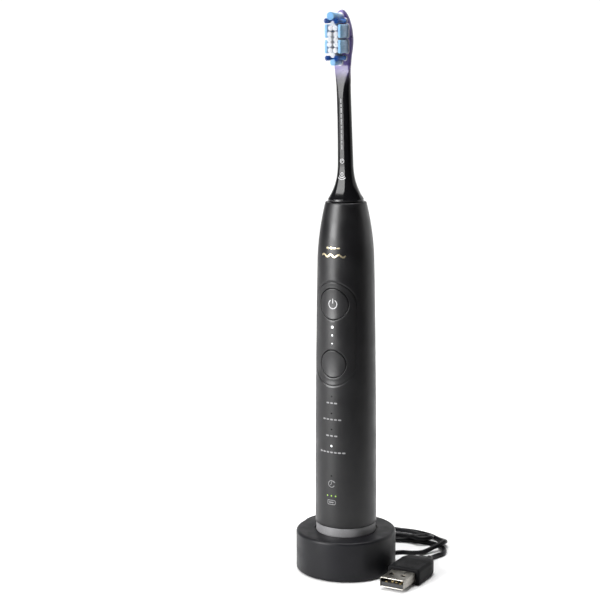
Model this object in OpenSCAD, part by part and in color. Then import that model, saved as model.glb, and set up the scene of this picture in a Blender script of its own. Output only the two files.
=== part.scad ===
// Sonic electric toothbrush standing on its round USB charging puck.
// Origin: centre of the puck's underside. +Z up, the handle's buttons face -Y.

/* [Charger] */
// Outside diameter of the charging puck
puck_d = 46.8; // [44:0.2:56.4]
// Height of the puck
puck_h = 19; // [18:0.5:24]
// Wall of the puck's top shell
puck_wall = 1.6; // [1.2:0.1:2]
// Radius of the rounded top edge
puck_edge_r = 1.2; // [0.6:0.1:1.5]
// Depth of the seat that the handle stands in
seat_depth = 0.6; // [0.4:0.1:1]
// Radius of the charging nub
nub_r = 4; // [3.4:0.1:5]
// Height of the charging nub above the seat
nub_h = 9; // [7:0.5:11]
// Diameter of the ferrite core inside the nub
core_d = 4.8; // [4:0.1:5]

/* [Handle] */
// Outside diameter of the handle's lower end
handle_d = 28.6; // [27:0.2:34.4]
// Length of the handle from its seat to the neck seam
handle_len = 155; // [150:1:186]
// Wall of the handle's housing
handle_wall = 1.6; // [1.3:0.1:1.9]
// Radius of the handle at the neck seam
seam_r = 9.35; // [8.6:0.05:10]
// How far the side draws in along the whole length
side_taper = 1.9; // [1:0.1:2]
// Height of the charging end cap's visible band
cap_band_h = 4.5; // [3.5:0.5:6]
// Radial clearance between the nub and the cap's pit
pit_clearance = 0.4; // [0.3:0.1:0.6]

/* [Controls] */
// Height of the power button's centre above the seat
power_s = 109.6; // [108:0.2:114]
// Radius of the power button
power_r = 7.1; // [6.5:0.1:7.3]
// Height of the mode button's centre above the seat
mode_s = 82; // [78:0.2:84]
// Radius of the mode button
mode_r = 6.3; // [5.8:0.1:6.6]
// Gap round each button
button_gap = 0.2; // [0.15:0.05:0.3]
// Width of the pad's rim round the power button
pad_rim = 3; // [2.6:0.1:3.2]
// Depth that the pad lies below the housing's skin
pad_recess = 0.2; // [0.1:0.05:0.3]
// Thickness of the pad
pad_t = 1; // [0.8:0.1:1.1]
// Travel of each button
button_travel = 0.5; // [0.3:0.1:0.5]

/* [Battery and drive] */
// Diameter of the battery cell
cell_d = 14.2; // [13:0.1:17]
// Length of the battery cell
cell_len = 49; // [40:1:50]
// Diameter of the drive shaft
shaft_d = 3.8; // [3.4:0.1:4.6]
// Length of shaft that stands out of the handle
shaft_out = 15; // [12:0.5:18]
// Radial clearance of the shaft in its bushes
bush_clearance = 0.05; // [0.02:0.01:0.1]
// Half of the swing of the shaft and head, in degrees
swing_half = 5; // [2:0.5:7]

/* [Brush head] */
// Height of the brush head above the neck seam
head_len = 85.8; // [80:0.2:90]
// Gap between the handle and the neck's base
seam_gap = 0.4; // [0.3:0.1:0.8]
// Radius of the neck's base
neck_base_r = 8.8; // [8:0.1:9]
// Radius of the neck's slimmest stretch
neck_slim_r = 3.25; // [3:0.05:3.8]
// Radius of the neck where it meets the platen
neck_top_r = 4.1; // [3.6:0.1:4.3]
// Forward lean of the neck's top
neck_lean = 2.9; // [1.5:0.1:3.2]
// Width of the bristle platen
platen_w = 10.8; // [10:0.2:13]
// Height of the bristle platen
platen_h = 24.6; // [23.6:0.2:27]
// Thickness of the bristle platen
platen_t = 4.2; // [3.6:0.1:5]
// Distance from the handle's axis to the platen's front face
platen_forward = 5.3; // [4.5:0.1:6]
// Free length of the shorter bristles
bristle_len = 7.5; // [6.2:0.1:9]

/* [Cord and plug] */
// Diameter of the cord
cord_d = 2.2; // [1.8:0.1:2.3]
// Width of the USB plug's metal shell
shell_w = 12; // [11.9:0.1:12.1]
// Thickness of the USB plug's metal shell
shell_t = 4.5; // [4.4:0.1:4.6]
// Length of metal shell that shows
shell_out = 12; // [11:0.5:12]
// Sheet thickness of the metal shell
shell_sheet = 0.3; // [0.25:0.05:0.4]
// Width of the plug's grip
grip_w = 16; // [15:0.5:17]
// Length of the plug's grip
grip_len = 21; // [18:1:22]
// Thickness of the plug's grip
grip_t = 7.6; // [7:0.2:8]
// Radius at the middle of the stored coil
coil_r = 12.1; // [11:0.1:13.2]

/* [Hidden] */
$fn = 64;
fit = 0.03;
puck_r = puck_d / 2;
puck_in = puck_r - puck_wall;
foot_stand = 0.4;
foot_h = 1;
foot_r = puck_in - 4.6;
foot_w = 3;
base_t = 1.8;
base_top = foot_stand + base_t;
seat_z = puck_h - seat_depth;
seat_gap = 0.5;
nub_wall = 1.1;
nub_top = seat_z + nub_h;
board_top = base_top + 3.2;
charger_board_t = 1;
core_top = nub_top - nub_wall - 0.3;
bobbin_in = core_d / 2 + fit;
bobbin_hub = bobbin_in + 0.9;
bobbin_r = 9;
bobbin_base = board_top + 0.6;
bobbin_top = seat_z - puck_wall - 0.4;
flange_t = 0.8;

handle_r = handle_d / 2;
seam_z = seat_z + handle_len;
shoulder_len = 27.6;
shoulder_draw = handle_r - side_taper - seam_r;
pit_r = nub_r + pit_clearance;
pit_depth = nub_h + 0.6;
cap_wall = 1.2;
cap_spigot_h = 4;
cap_r = handle_r - 0.35;
coil_z = seat_z + 2.6;
coil_h = 7;

function outer_r(s) = handle_r
    - side_taper * pow(max(0, s - cap_band_h) / (handle_len - cap_band_h), 2)
    - shoulder_draw * pow(max(0, s - handle_len + shoulder_len) / shoulder_len, 2);
function inner_r(s) = outer_r(s) - handle_wall;
wall_steps = [for (i = [0 : 6]) i / 6 * (handle_len - cap_band_h - shoulder_len)];
shoulder_steps = [for (i = [1 : 12]) handle_len - cap_band_h - shoulder_len * (1 - i / 12)];
profile_s = [for (t = concat(wall_steps, shoulder_steps)) cap_band_h + t];
roof_t = 2.6;
roof_s = handle_len - roof_t;
seal_r = 6;

pad_r = power_r + pad_rim;
pad_span = power_s - mode_s;
switch_w = 5;
switch_t = 2;
cap_depth = 3.4;
stem_r = 1.6;
stem_len = 0.9;
plunger_r = 1;
board_t = 1;
pad_front = outer_r(power_s);
press_room = button_travel + 0.15;
plunger_seat = 0.3;
switch_front = -(pad_front - cap_depth - stem_len - press_room);
board_front = switch_front + switch_t;
board_back = board_front + board_t;
board_w = 13;
board_low = mode_s - 58;
board_high = power_s + 8;

// Heights above the seat of the lights in the housing, in the pad and in the battery's row.
mode_light_s = [67, 59.1, 51.5, 43.7, 29.5];
level_light_s = [91.5, 95.3, 99.1];
battery_light_s = 20;
battery_light_x = [-2.1, 0, 2.1];
light_r = 0.5;
light_depth = 2.6;

cell_r = cell_d / 2;
cell_low = coil_z - seat_z + coil_h + 5.5;
cell_y = board_back + 0.5 + cell_r;
tray_t = 1;
tray_high = cell_low + cell_len + 1;

shaft_r = shaft_d / 2;
drive_low = tray_high + 6;
drive_high = handle_len - 14;
frame_plate = 2;
frame_half_w = 7;
spine_t = 1.6;
rotor_low = drive_low + 8;
rotor_len = 20;
rotor_r = 3.4;
magnet_t = 1.1;
magnet_w = 2.4;
magnet_swing = 0.3;
core_y = norm([rotor_r + magnet_t, magnet_w + 0.2]) + magnet_swing;
leg_w = 2.6;
stator_w = 10.6;
frame_back = sqrt(pow(inner_r(rotor_low + rotor_len), 2) - pow(stator_w / 2, 2)) - 0.4;
plate_back = sqrt(pow(inner_r(drive_high), 2) - pow(frame_half_w - 1, 2)) - 0.4;
tail_r = 1;
bush_r = shaft_r + 1.8;

base_z = seam_z + seam_gap;
head_top = seam_z + head_len;
socket_depth = shaft_out - seam_gap + 0.6;
socket_r = shaft_r + 1.1;
platen_low = head_top - platen_h;
face_y = -platen_forward;
wide_s = 10.8;

cord_r = cord_d / 2;
grommet_r = 2.3;
// The bearing of the cord's exit, anticlockwise from +X, and its height above the table.
exit_angle = 45;
exit_z = 4.2;
grommet_out = puck_r + 0.64;
plug_x = 34;
plug_tip_y = -20;
plug_z = grip_t / 2;
grip_front = plug_tip_y + shell_out;
grip_back = grip_front + grip_len;
relief_len = 4;
coil_centre = [-26, 34];
coil_half_w = 1.5 * cord_d;
coil_height = 3.7 * cord_d;

// The cord from the puck's grommet to the stored coil.
lead_route = [[17, 17, 4.2], [20, 20.2, 4], [22.5, 26, 2.4], [25.3, 32.5, 1.4], [28.2, 39, 2.6],
    [30.5, 44.5, 3.6], [28.6, 49.6, 2.2], [23.5, 53.5, 1.2], [17, 57, 1.2], [8, 58.6, 1.2],
    [-1, 57, 1.4], [-8, 53.5, 2.6], [-11.6, 48, 3.4], [-9, 42.6, 3.5], [-2, 41.4, 3.5],
    [5, 44.2, 3.5], [11.5, 45, 3.5], [17.8, 44.2, 3.5], [21.6, 48, 3.4], [19.6, 52.4, 2.4],
    [14, 53.4, 1.4], [8, 50.6, 1.2], [2, 47.8, 1.2], [-5, 46.4, 1.2], [-12, 46.2, 1.2],
    [-18, 47, 1.2], [-23.5, 48.1, 1.2]];
// The cord from the stored coil to the plug.
tail_route = [[-17.9, 23.6, 7], [-11, 29.6, 5.6], [-4, 36, 2.8], [4, 42, 1.4], [12, 45.6, 1.2],
    [19.6, 46.8, 1.2], [26.6, 45.4, 1.2], [32, 41.2, 1.2], [34, 35.6, 1.2], [32.6, 30.4, 1.2],
    [32, 26, 1.4], [33.2, 22.6, 2.8], [34, 19.8, 3.8], [34, 17, 3.8]];

// ---------- Shared shapes ----------

module ring(inner, outer, low, high) {
    translate([0, 0, low]) difference() {
        cylinder(r = outer, h = high - low);
        translate([0, 0, -1]) cylinder(r = inner, h = high - low + 2);
    }
}

module block(low, high) {
    translate(low) cube(high - low);
}

// A cylinder along +Y that starts at [x, y, z].
module rod_y(x, y, z, r, length) {
    translate([x, y, z]) rotate([-90, 0, 0]) cylinder(r = r, h = length);
}

// The handle's solid outline, drawn in by inset, between two heights above the seat.
module handle_solid(inset, low, high) {
    inside = [for (s = profile_s) if (s > low && s < high) s];
    stations = concat([low], inside, [high]);
    translate([0, 0, seat_z]) rotate_extrude($fn = 96)
        polygon(concat([[0, low]], [for (s = stations) [outer_r(s) - inset, s]], [[0, high]]));
}

// The pad's outline as a prism along Y, wider by grow.
module pad_prism(grow) {
    translate([0, 0, seat_z]) rotate([90, 0, 0]) linear_extrude(height = 30) {
        translate([0, mode_s]) circle(r = pad_r + grow);
        translate([0, power_s]) circle(r = pad_r + grow);
        translate([-pad_r - grow, mode_s]) square([2 * (pad_r + grow), pad_span]);
    }
}

// ---------- Charger ----------

module charger_top_shell() {
    skirt_low = foot_stand;
    color("dimgray") difference() {
        rotate_extrude($fn = 128) difference() {
            union() {
                polygon([[0, skirt_low], [puck_r - 0.4, skirt_low], [puck_r, skirt_low + 0.4],
                    [puck_r, puck_h - puck_edge_r], [puck_r - puck_edge_r, puck_h], [0, puck_h]]);
                translate([puck_r - puck_edge_r, puck_h - puck_edge_r]) circle(r = puck_edge_r, $fn = 48);
                square([nub_r, nub_top - 0.8]);
                translate([0, nub_top - 1]) square([nub_r - 0.8, 1]);
                translate([nub_r - 0.8, nub_top - 0.8]) circle(r = 0.8, $fn = 32);
            }
            translate([nub_r, seat_z]) square([handle_r + seat_gap - nub_r, seat_depth + 1]);
            polygon([[0, 0], [puck_in, 0], [puck_in, puck_h - puck_wall - 0.6],
                [puck_in - 0.6, puck_h - puck_wall], [handle_r + 2, puck_h - puck_wall],
                [handle_r + 1, seat_z - puck_wall], [0, seat_z - puck_wall]]);
            square([nub_r - nub_wall, nub_top - nub_wall]);
        }
        rotate([0, 0, exit_angle]) translate([puck_in - 3, 0, exit_z]) rotate([0, 90, 0])
            cylinder(r = grommet_r, h = 8);
    }
}

module charger_base_plate() {
    post_r = 1.6;
    post_h = board_top - charger_board_t - base_top;
    color("black") {
        difference() {
            translate([0, 0, foot_stand]) cylinder(r = puck_in - fit, h = base_t);
            ring(foot_r - fit, foot_r + foot_w + fit, -1, foot_h);
            rotate([0, 0, exit_angle]) translate([puck_in - 2.2, 0, exit_z]) rotate([0, 90, 0])
                cylinder(r = grommet_r + 0.8, h = 8);
        }
        for (a = [60, 180, 300]) rotate([0, 0, a + exit_angle])
            translate([bobbin_r + 2.5, 0, base_top - 0.1]) cylinder(r = post_r, h = post_h + 0.1);
    }
}

module charger_foot_ring() {
    color("black") ring(foot_r, foot_r + foot_w, 0, foot_h);
}

module charger_ferrite_core() {
    color("darkslategray") translate([0, 0, bobbin_base]) cylinder(d = core_d, h = core_top - bobbin_base);
}

module charger_coil_bobbin() {
    color("ivory") {
        ring(bobbin_in, bobbin_hub, bobbin_base, bobbin_top);
        ring(bobbin_in, bobbin_r, bobbin_base, bobbin_base + flange_t);
        ring(bobbin_in, bobbin_r, bobbin_top - flange_t, bobbin_top);
    }
}

module charger_primary_coil() {
    color("chocolate")
        ring(bobbin_hub + fit, bobbin_r - 0.8, bobbin_base + flange_t + fit, bobbin_top - flange_t - fit);
}

module charger_circuit_board() {
    color("darkgreen") translate([0, 0, board_top - charger_board_t])
        cylinder(r = bobbin_r + 4.6, h = charger_board_t);
}

module charger_board_parts() {
    part_r = bobbin_r + 2.4;
    color("black") for (a = [150, 195, 285]) rotate([0, 0, a]) translate([part_r, 0, board_top])
        cylinder(r = 1.6, h = 4.5);
    color("black") for (a = [0, 90, 240, 330]) rotate([0, 0, a])
        translate([part_r - 1.2, -1.6, board_top]) cube([2.4, 3.2, 1.2]);
}

module charger_cord_grommet() {
    color("black") rotate([0, 0, exit_angle]) translate([0, 0, exit_z]) rotate([0, 90, 0]) {
        translate([0, 0, puck_in - 1.4]) cylinder(r = grommet_r + 0.5, h = 1.2);
        translate([0, 0, puck_in - 0.4]) cylinder(r = grommet_r - fit, h = grommet_out - puck_in + 0.3);
    }
}

// ---------- Cord and plug ----------

// A point at t between b and c on the smooth curve through a, b, c and d.
function smooth(a, b, c, d, t) = 0.5 * (2 * b + (c - a) * t + (2 * a - 5 * b + 4 * c - d) * t * t
    + (3 * b - a - 3 * c + d) * t * t * t);

function smooth_route(p, n) = let (m = len(p) - 1) concat(
    [for (i = [0 : m - 1], k = [0 : n - 1])
        smooth(i > 0 ? p[i - 1] : 2 * p[0] - p[1], p[i], p[i + 1],
            i < m - 1 ? p[i + 2] : 2 * p[m] - p[m - 1], k / n)], [p[m]]);

function unit(v) = v / norm(v);

function heading(p, i) = unit(p[min(i + 1, len(p) - 1)] - p[max(i - 1, 0)]);

module cord_tube(route) {
    sides = 8;
    path = smooth_route(route, 2);
    last = len(path) - 1;
    points = [for (i = [0 : last]) let (along = heading(path, i), across = unit(cross(along, [0, 0, 1])),
        over = cross(across, along)) for (k = [0 : sides - 1])
        path[i] + cord_r * (cos(360 * k / sides) * across + sin(360 * k / sides) * over)];
    walls = [for (i = [0 : last - 1], k = [0 : sides - 1]) let (n = (k + 1) % sides)
        [i * sides + k, i * sides + n, (i + 1) * sides + n, (i + 1) * sides + k]];
    ends = [[for (k = [sides - 1 : -1 : 0]) k], [for (k = [0 : sides - 1]) last * sides + k]];
    polyhedron(points, concat(walls, ends));
}

module cord_lead() {
    color("black") cord_tube(lead_route);
}

module cord_tail() {
    color("black") cord_tube(tail_route);
}

module cord_coil() {
    low = coil_r - coil_half_w;
    high = coil_r + coil_half_w;
    edge = cord_r;
    color("black") translate(coil_centre) rotate_extrude($fn = 72)
        polygon([[low + edge, 0], [high - edge, 0], [high, edge], [high, coil_height - edge],
            [high - edge, coil_height], [low + edge, coil_height], [low, coil_height - edge], [low, edge]]);
}

// A box about the plug's axis, between two places along it.
module plug_box(w, t, front, back) {
    translate([plug_x - w / 2, front, plug_z - t / 2]) cube([w, back - front, t]);
}

module usb_plug_grip() {
    corner = 3;
    edge = 1;
    color("black") difference() {
        hull() for (x = [-1, 1]) {
            translate([plug_x + x * (grip_w / 2 - 1.5), grip_front + 1.5, 0]) {
                translate([0, 0, edge]) cylinder(r = 1.5, h = grip_t - 2 * edge, $fn = 32);
                cylinder(r = 1.5 - edge / 2, h = grip_t, $fn = 32);
            }
            translate([plug_x + x * (grip_w / 2 - corner - 1), grip_back - corner, 0]) {
                translate([0, 0, edge]) cylinder(r = corner, h = grip_t - 2 * edge, $fn = 32);
                cylinder(r = corner - edge / 2, h = grip_t, $fn = 32);
            }
        }
        plug_box(shell_w, shell_t, grip_front - 1, grip_front + 7);
    }
}

module usb_plug_shell() {
    window = 2.2;
    color("silver") difference() {
        plug_box(shell_w, shell_t, plug_tip_y, grip_front + 7);
        plug_box(shell_w - 2 * shell_sheet, shell_t - 2 * shell_sheet, plug_tip_y - 1, grip_front + 6.5);
        for (x = [-1, 1]) translate([plug_x + x * 2.8 - window / 2, plug_tip_y + 5, -1])
            cube([window, window, grip_t + 2]);
    }
}

module usb_plug_tongue() {
    core_w = shell_w - 2 * shell_sheet - 0.1;
    core_t = shell_t - 2 * shell_sheet - 0.1;
    color("black") {
        plug_box(core_w, core_t, grip_front - 1, grip_front + 6.4);
        translate([plug_x - 5.6, plug_tip_y + 0.6, plug_z - shell_t / 2 + shell_sheet + 0.05])
            cube([11.2, shell_out - 1.5, 1.8]);
    }
}

module usb_plug_contacts() {
    tongue_top = plug_z - shell_t / 2 + shell_sheet + 0.05 + 1.8;
    color("gold") for (x = [-3.5, -1, 1, 3.5])
        translate([plug_x + x - 0.5, plug_tip_y + (abs(x) > 2 ? 1.6 : 2.6), tongue_top])
            cube([1, shell_out - (abs(x) > 2 ? 2.7 : 3.7), 0.2]);
}

module usb_plug_strain_relief() {
    color("black") translate([plug_x, grip_back, plug_z]) rotate([-90, 0, 0])
        cylinder(r1 = 2.8, r2 = 1.5, h = relief_len);
}

// ---------- Handle ----------

module handle_housing() {
    color("dimgray") difference() {
        handle_solid(0, cap_band_h, handle_len);
        handle_solid(handle_wall, 0, roof_s);
        translate([0, 0, seat_z + roof_s - 1]) cylinder(r = seal_r, h = roof_t + 2);
        difference() {
            pad_prism(0);
            handle_solid(pad_recess + pad_t, 0, handle_len);
        }
        rod_y(0, -30, seat_z + power_s, power_r + button_gap + 0.1, 30);
        rod_y(0, -30, seat_z + mode_s, mode_r + button_gap + 0.1, 30);
        for (s = mode_light_s) light_hole(0, s);
        for (x = battery_light_x) light_hole(x, battery_light_s);
    }
}

// A hole for a light, from in front of the skin to behind the wall.
module light_hole(x, s) {
    rod_y(x, -20, seat_z + s, light_r, 15);
}

// One light between two depths below the skin.
module light(x, s, outside, inside) {
    color("white") intersection() {
        rod_y(x, -20, seat_z + s, light_r - fit, 15);
        difference() {
            handle_solid(outside, cap_band_h, handle_len);
            handle_solid(inside, 0, handle_len + 1);
        }
    }
}

module indicator_lights() {
    for (s = mode_light_s) light(0, s, 0.05, light_depth);
    for (x = battery_light_x) light(x, battery_light_s, 0.05, light_depth);
    for (s = level_light_s) light(0, s, pad_recess + 0.05, pad_recess + pad_t);
}

module keypad_pad() {
    color("black") intersection() {
        pad_prism(-fit);
        difference() {
            handle_solid(pad_recess, cap_band_h, handle_len);
            handle_solid(pad_recess + pad_t - fit, 0, handle_len + 1);
            rod_y(0, -30, seat_z + power_s, power_r + button_gap, 30);
            rod_y(0, -30, seat_z + mode_s, mode_r + button_gap, 30);
            for (s = level_light_s) light_hole(0, s);
        }
    }
}

module button(s, r) {
    back = -(pad_front - cap_depth);
    color("dimgray") {
        intersection() {
            rod_y(0, -30, seat_z + s, r, 30 + back);
            handle_solid(pad_recess, cap_band_h, handle_len);
        }
        rod_y(0, back - 0.1, seat_z + s, stem_r, stem_len + 0.1);
    }
}

module plunger(s) {
    color("red") rod_y(0, switch_front - press_room, seat_z + s, plunger_r, press_room + plunger_seat);
}

module power_button() {
    button(power_s, power_r);
}

module mode_button() {
    button(mode_s, mode_r);
}

module power_plunger() {
    plunger(power_s);
}

module mode_plunger() {
    plunger(mode_s);
}

module switch_body(s) {
    half = switch_w / 2;
    color("dimgray") difference() {
        block([-half, switch_front, seat_z + s - half], [half, board_front, seat_z + s + half]);
        rod_y(0, switch_front - 1, seat_z + s, plunger_r + 0.1, 1 + plunger_seat + press_room);
    }
}

module power_switch() {
    switch_body(power_s);
}

module mode_switch() {
    switch_body(mode_s);
}

module control_board() {
    color("darkgreen") block([-board_w / 2, board_front, seat_z + board_low],
        [board_w / 2, board_back, seat_z + board_high]);
}

module control_board_parts() {
    chip_y = board_front - 1.1;
    light_y = board_front - 0.8;
    color("black") {
        block([-3, chip_y, seat_z + 33], [3, board_front, seat_z + 39]);
        block([-5, chip_y, seat_z + 71], [-1, board_front, seat_z + 75]);
        block([2, chip_y, seat_z + 70], [5, board_front, seat_z + 74]);
    }
    color("white") for (s = concat(mode_light_s, level_light_s))
        block([-0.8, light_y, seat_z + s - 0.5], [0.8, board_front, seat_z + s + 0.5]);
}

module handle_end_cap() {
    spigot_r = inner_r(cap_band_h) - fit;
    color("gray") translate([0, 0, seat_z]) rotate_extrude($fn = 96) difference() {
        polygon([[0, 0], [cap_r - 1, 0], [cap_r - 0.3, 0.3], [cap_r, 1], [cap_r, cap_band_h - 0.3],
            [cap_r - 0.4, cap_band_h], [spigot_r, cap_band_h], [spigot_r, cap_band_h + cap_spigot_h],
            [pit_r + cap_wall, cap_band_h + cap_spigot_h], [pit_r + cap_wall, pit_depth + cap_wall],
            [0, pit_depth + cap_wall]]);
        square([pit_r, pit_depth]);
        translate([pit_r + cap_wall, cap_wall])
            square([spigot_r - cap_wall - pit_r - cap_wall, cap_band_h + cap_spigot_h]);
        translate([spigot_r - 0.7, cap_band_h + 1.4]) square([2, 1.4]);
    }
}

module end_cap_seal() {
    spigot_r = inner_r(cap_band_h) - fit;
    color("red") ring(spigot_r - 0.7 + fit, spigot_r, seat_z + cap_band_h + 1.4 + fit,
        seat_z + cap_band_h + 2.8 - fit);
}

module handle_charging_coil() {
    color("chocolate") ring(pit_r + cap_wall + 0.1, pit_r + cap_wall + 3.2, coil_z, coil_z + coil_h);
}

module battery_cell() {
    top = seat_z + cell_low + cell_len;
    color("steelblue") translate([0, cell_y, 0]) {
        translate([0, 0, seat_z + cell_low]) cylinder(r = cell_r, h = cell_len - 1);
        translate([0, 0, top - 1.1]) cylinder(r = cell_r * 0.4, h = 1.1);
    }
}

module battery_tabs() {
    low = seat_z + cell_low;
    high = low + cell_len;
    color("silver") {
        block([-2.5, cell_y - 2, low - 0.3], [2.5, cell_y + 3, low]);
        block([-2, cell_y - 2, high], [2, cell_y + 2, high + 0.3]);
    }
}

module inner_tray() {
    tray_in = cell_r + 0.15;
    tray_low = seat_z + cell_low - 2.4;
    tray_top = seat_z + tray_high + 1.4;
    color("ivory") {
        translate([0, cell_y, 0]) difference() {
            translate([0, 0, tray_low]) cylinder(r = tray_in + tray_t, h = tray_top - tray_low);
            translate([0, 0, tray_low + 1.8]) cylinder(r = tray_in, h = tray_top - tray_low - 3.4);
            block([-20, -20, tray_low - 1], [20, -2.5, tray_top + 1]);
        }
    }
}

module spring_anchor() {
    low = seat_z + tray_high + 1.4;
    color("silver") difference() {
        block([-4, -2.5, low], [4, 4, low + 3.6]);
        translate([0, 0, low - 1]) cylinder(r = tail_r + 0.1, h = 6);
    }
}

// ---------- Drive ----------

module drive_frame() {
    low = seat_z + drive_low;
    high = seat_z + drive_high;
    front = -(bush_r + 1.2);
    color("lightgray") difference() {
        union() {
            block([-stator_w / 2, front, low], [stator_w / 2, frame_back, low + frame_plate]);
            block([-frame_half_w + 1, front, high - frame_plate], [frame_half_w - 1, plate_back, high]);
            block([-stator_w / 2, frame_back - spine_t, low], [stator_w / 2, frame_back, low + 34]);
            block([-4, plate_back - spine_t, low + 32], [4, frame_back, low + 34]);
            block([-4, plate_back - spine_t, low + 32], [4, plate_back, high]);
        }
        translate([0, 0, low - 1]) cylinder(r = bush_r, h = high - low + 2);
    }
}

module bush(low) {
    color("goldenrod") ring(shaft_r + bush_clearance, bush_r - fit, low, low + frame_plate);
}

module lower_bush() {
    bush(seat_z + drive_low);
}

module upper_bush() {
    bush(seat_z + drive_high - frame_plate);
}

module stator_core() {
    low = seat_z + rotor_low + 1;
    high = low + rotor_len - 2;
    back = frame_back - spine_t - fit;
    color("gray") {
        block([-stator_w / 2, back - 1, low], [stator_w / 2, back, high]);
        for (x = [-1, 0, 1]) let (middle = x * (stator_w - leg_w) / 2, trim = x == 0 ? 0 : 4)
            block([middle - leg_w / 2, core_y, low + trim], [middle + leg_w / 2, back - 0.9, high - trim]);
    }
}

module stator_coils() {
    low = seat_z + rotor_low + 1;
    high = low + rotor_len - 2;
    back = frame_back - spine_t - fit - 1 - fit;
    turns = 1.3;
    leg = leg_w / 2 + fit;
    color("chocolate") difference() {
        block([-leg - turns, core_y + 0.2, low - turns], [leg + turns, back, high + turns]);
        block([-leg, core_y - 1, low - fit], [leg, back + 1, high + fit]);
    }
}

module shaft_seal() {
    top = seat_z + handle_len;
    color("black") translate([0, 0, top]) rotate_extrude() difference() {
        polygon([[0, -roof_t - 2], [3.4, -roof_t - 2], [seal_r - fit, -roof_t], [seal_r - fit, -0.5],
            [shaft_r + 1.4, 0.1], [shaft_r + 1.2, 0.2], [0, 0.2]]);
        square([shaft_r + bush_clearance, 20], center = true);
        translate([0, -10]) square([shaft_r + bush_clearance, 20]);
    }
}

module drive_shaft() {
    low = seat_z + drive_low - 0.6;
    high = seam_z + shaft_out;
    flat = shaft_r * 0.72;
    color("silver") difference() {
        translate([0, 0, low]) cylinder(r = shaft_r, h = high - low);
        block([-5, -5, high - 9], [5, -flat, high + 1]);
        translate([0, 0, low - 1]) cylinder(r = tail_r, h = 4);
    }
}

module rotor_hub() {
    low = seat_z + rotor_low;
    color("gray") ring(shaft_r + fit, rotor_r, low, low + rotor_len);
}

module rotor_magnets() {
    low = seat_z + rotor_low + 3;
    color("silver") for (side = [-1, 1]) difference() {
        translate([side * (magnet_w / 2 + 0.2), rotor_r + magnet_t / 2 - 0.5, low + rotor_len / 2 - 3])
            cube([magnet_w, magnet_t + 1, rotor_len - 6], center = true);
        translate([0, 0, low - 5]) cylinder(r = rotor_r + fit, h = rotor_len + 10);
    }
}

module torsion_bar() {
    low = seat_z + tray_high + 1.7;
    color("silver") translate([0, 0, low]) cylinder(r = tail_r - fit, h = seat_z + drive_low - low - 0.1);
}

// ---------- Brush head ----------

// Height of the neck's flare, and of the stretch that widens into the platen.
neck_flare = 17;
neck_ring_h = 1.2;
neck_len = platen_low - base_z;
neck_widen = 12;

neck_top_deep = platen_forward - neck_lean;

// Radius of the round stem, its share of the change towards the platen, half its width and
// depth, and its forward lean, at height s above its base.
function stem_radius(s) = neck_slim_r + 0.75 * pow(max(0, 1 - s / (neck_len - neck_widen)), 2)
    + (neck_base_r - neck_slim_r - 0.75) * pow(max(0, 1 - s / neck_flare), 2.4);
function widening(s) = pow(max(0, (s - neck_len + neck_widen) / neck_widen), 1.5);
function neck_half(s) = stem_radius(s) + (neck_top_r - neck_slim_r) * widening(s);
function neck_deep(s) = stem_radius(s) + (neck_top_deep - neck_slim_r) * widening(s);
function neck_y(s) = -neck_lean * pow(s / neck_len, 1.7);

// Rings of points joined into one closed solid, from the lowest ring up.
module loft(rings) {
    sides = len(rings[0]);
    top = len(rings) - 1;
    points = [for (r = rings, p = r) p];
    walls = [for (i = [0 : top - 1], k = [0 : sides - 1]) let (n = (k + 1) % sides)
        [i * sides + k, (i + 1) * sides + k, (i + 1) * sides + n, i * sides + n]];
    ends = [[for (k = [0 : sides - 1]) k], [for (k = [sides - 1 : -1 : 0]) top * sides + k]];
    polyhedron(points, concat(walls, ends));
}

function neck_ring(s) = [for (k = [0 : 31])
    [neck_half(s) * cos(360 * k / 32), neck_y(s) + neck_deep(s) * sin(360 * k / 32), base_z + s]];

module brush_neck() {
    steps = 26;
    color("black") difference() {
        loft([for (i = [0 : steps]) neck_ring(neck_ring_h + (neck_len - neck_ring_h) * i / steps)]);
        translate([0, 0, base_z - 1]) cylinder(r = socket_r + fit, h = socket_depth + 1.2);
        translate([0, 0, base_z - 1]) cylinder(r1 = neck_base_r - 0.6, r2 = socket_r + fit, h = 6);
    }
}

module neck_base_ring() {
    outer = neck_half(neck_ring_h) + 0.1;
    color("black") ring(outer - 1.1, outer, base_z, base_z + neck_ring_h - fit);
}

module shaft_socket() {
    flat = shaft_r * 0.72 + fit;
    high = seam_z + shaft_out;
    color("ivory") difference() {
        translate([0, 0, base_z + 3.4]) cylinder(r = socket_r, h = socket_depth - 3.4);
        difference() {
            translate([0, 0, base_z]) cylinder(r = shaft_r + bush_clearance, h = socket_depth - 0.5);
            block([-5, -5, high - 9 + 0.1], [5, -flat, high + 2]);
        }
    }
}

module head_tag_ring() {
    color("goldenrod") ring(socket_r + 0.1, socket_r + 0.9, base_z + 2.2, base_z + 3.2);
}

// Half width and thickness of the platen at height s above its foot.
function platen_fade(s) = max(0, (s - wide_s) / (platen_h - wide_s));
function platen_half(s) = s < wide_s
    ? neck_top_r + (platen_w / 2 - neck_top_r) * (1 - cos(180 * s / wide_s)) / 2
    : platen_w / 2 * pow(1 - pow(platen_fade(s), 1.75), 1 / 1.75);
function platen_depth(s) = (platen_t + 1) * pow(1 - pow(platen_fade(s), 4), 1 / 2.5);
function signed_pow(x, e) = sign(x) * pow(abs(x), e);

// A rounded slab section. Its front is trimmed flat at the bristle face.
function platen_ring(s) = let (half = platen_half(s), deep = platen_depth(s) / 2, blend = min(1, s / 7),
    mid = (1 - blend) * neck_y(neck_len) + blend * (face_y + (platen_t - 1) / 2),
    e = 1 - 0.3 * blend, thick = (1 - blend) * neck_top_deep + blend * deep)
    [for (k = [0 : 31]) [half * signed_pow(cos(360 * k / 32), e),
        mid + thick * signed_pow(sin(360 * k / 32), e), platen_low + s]];

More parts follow.
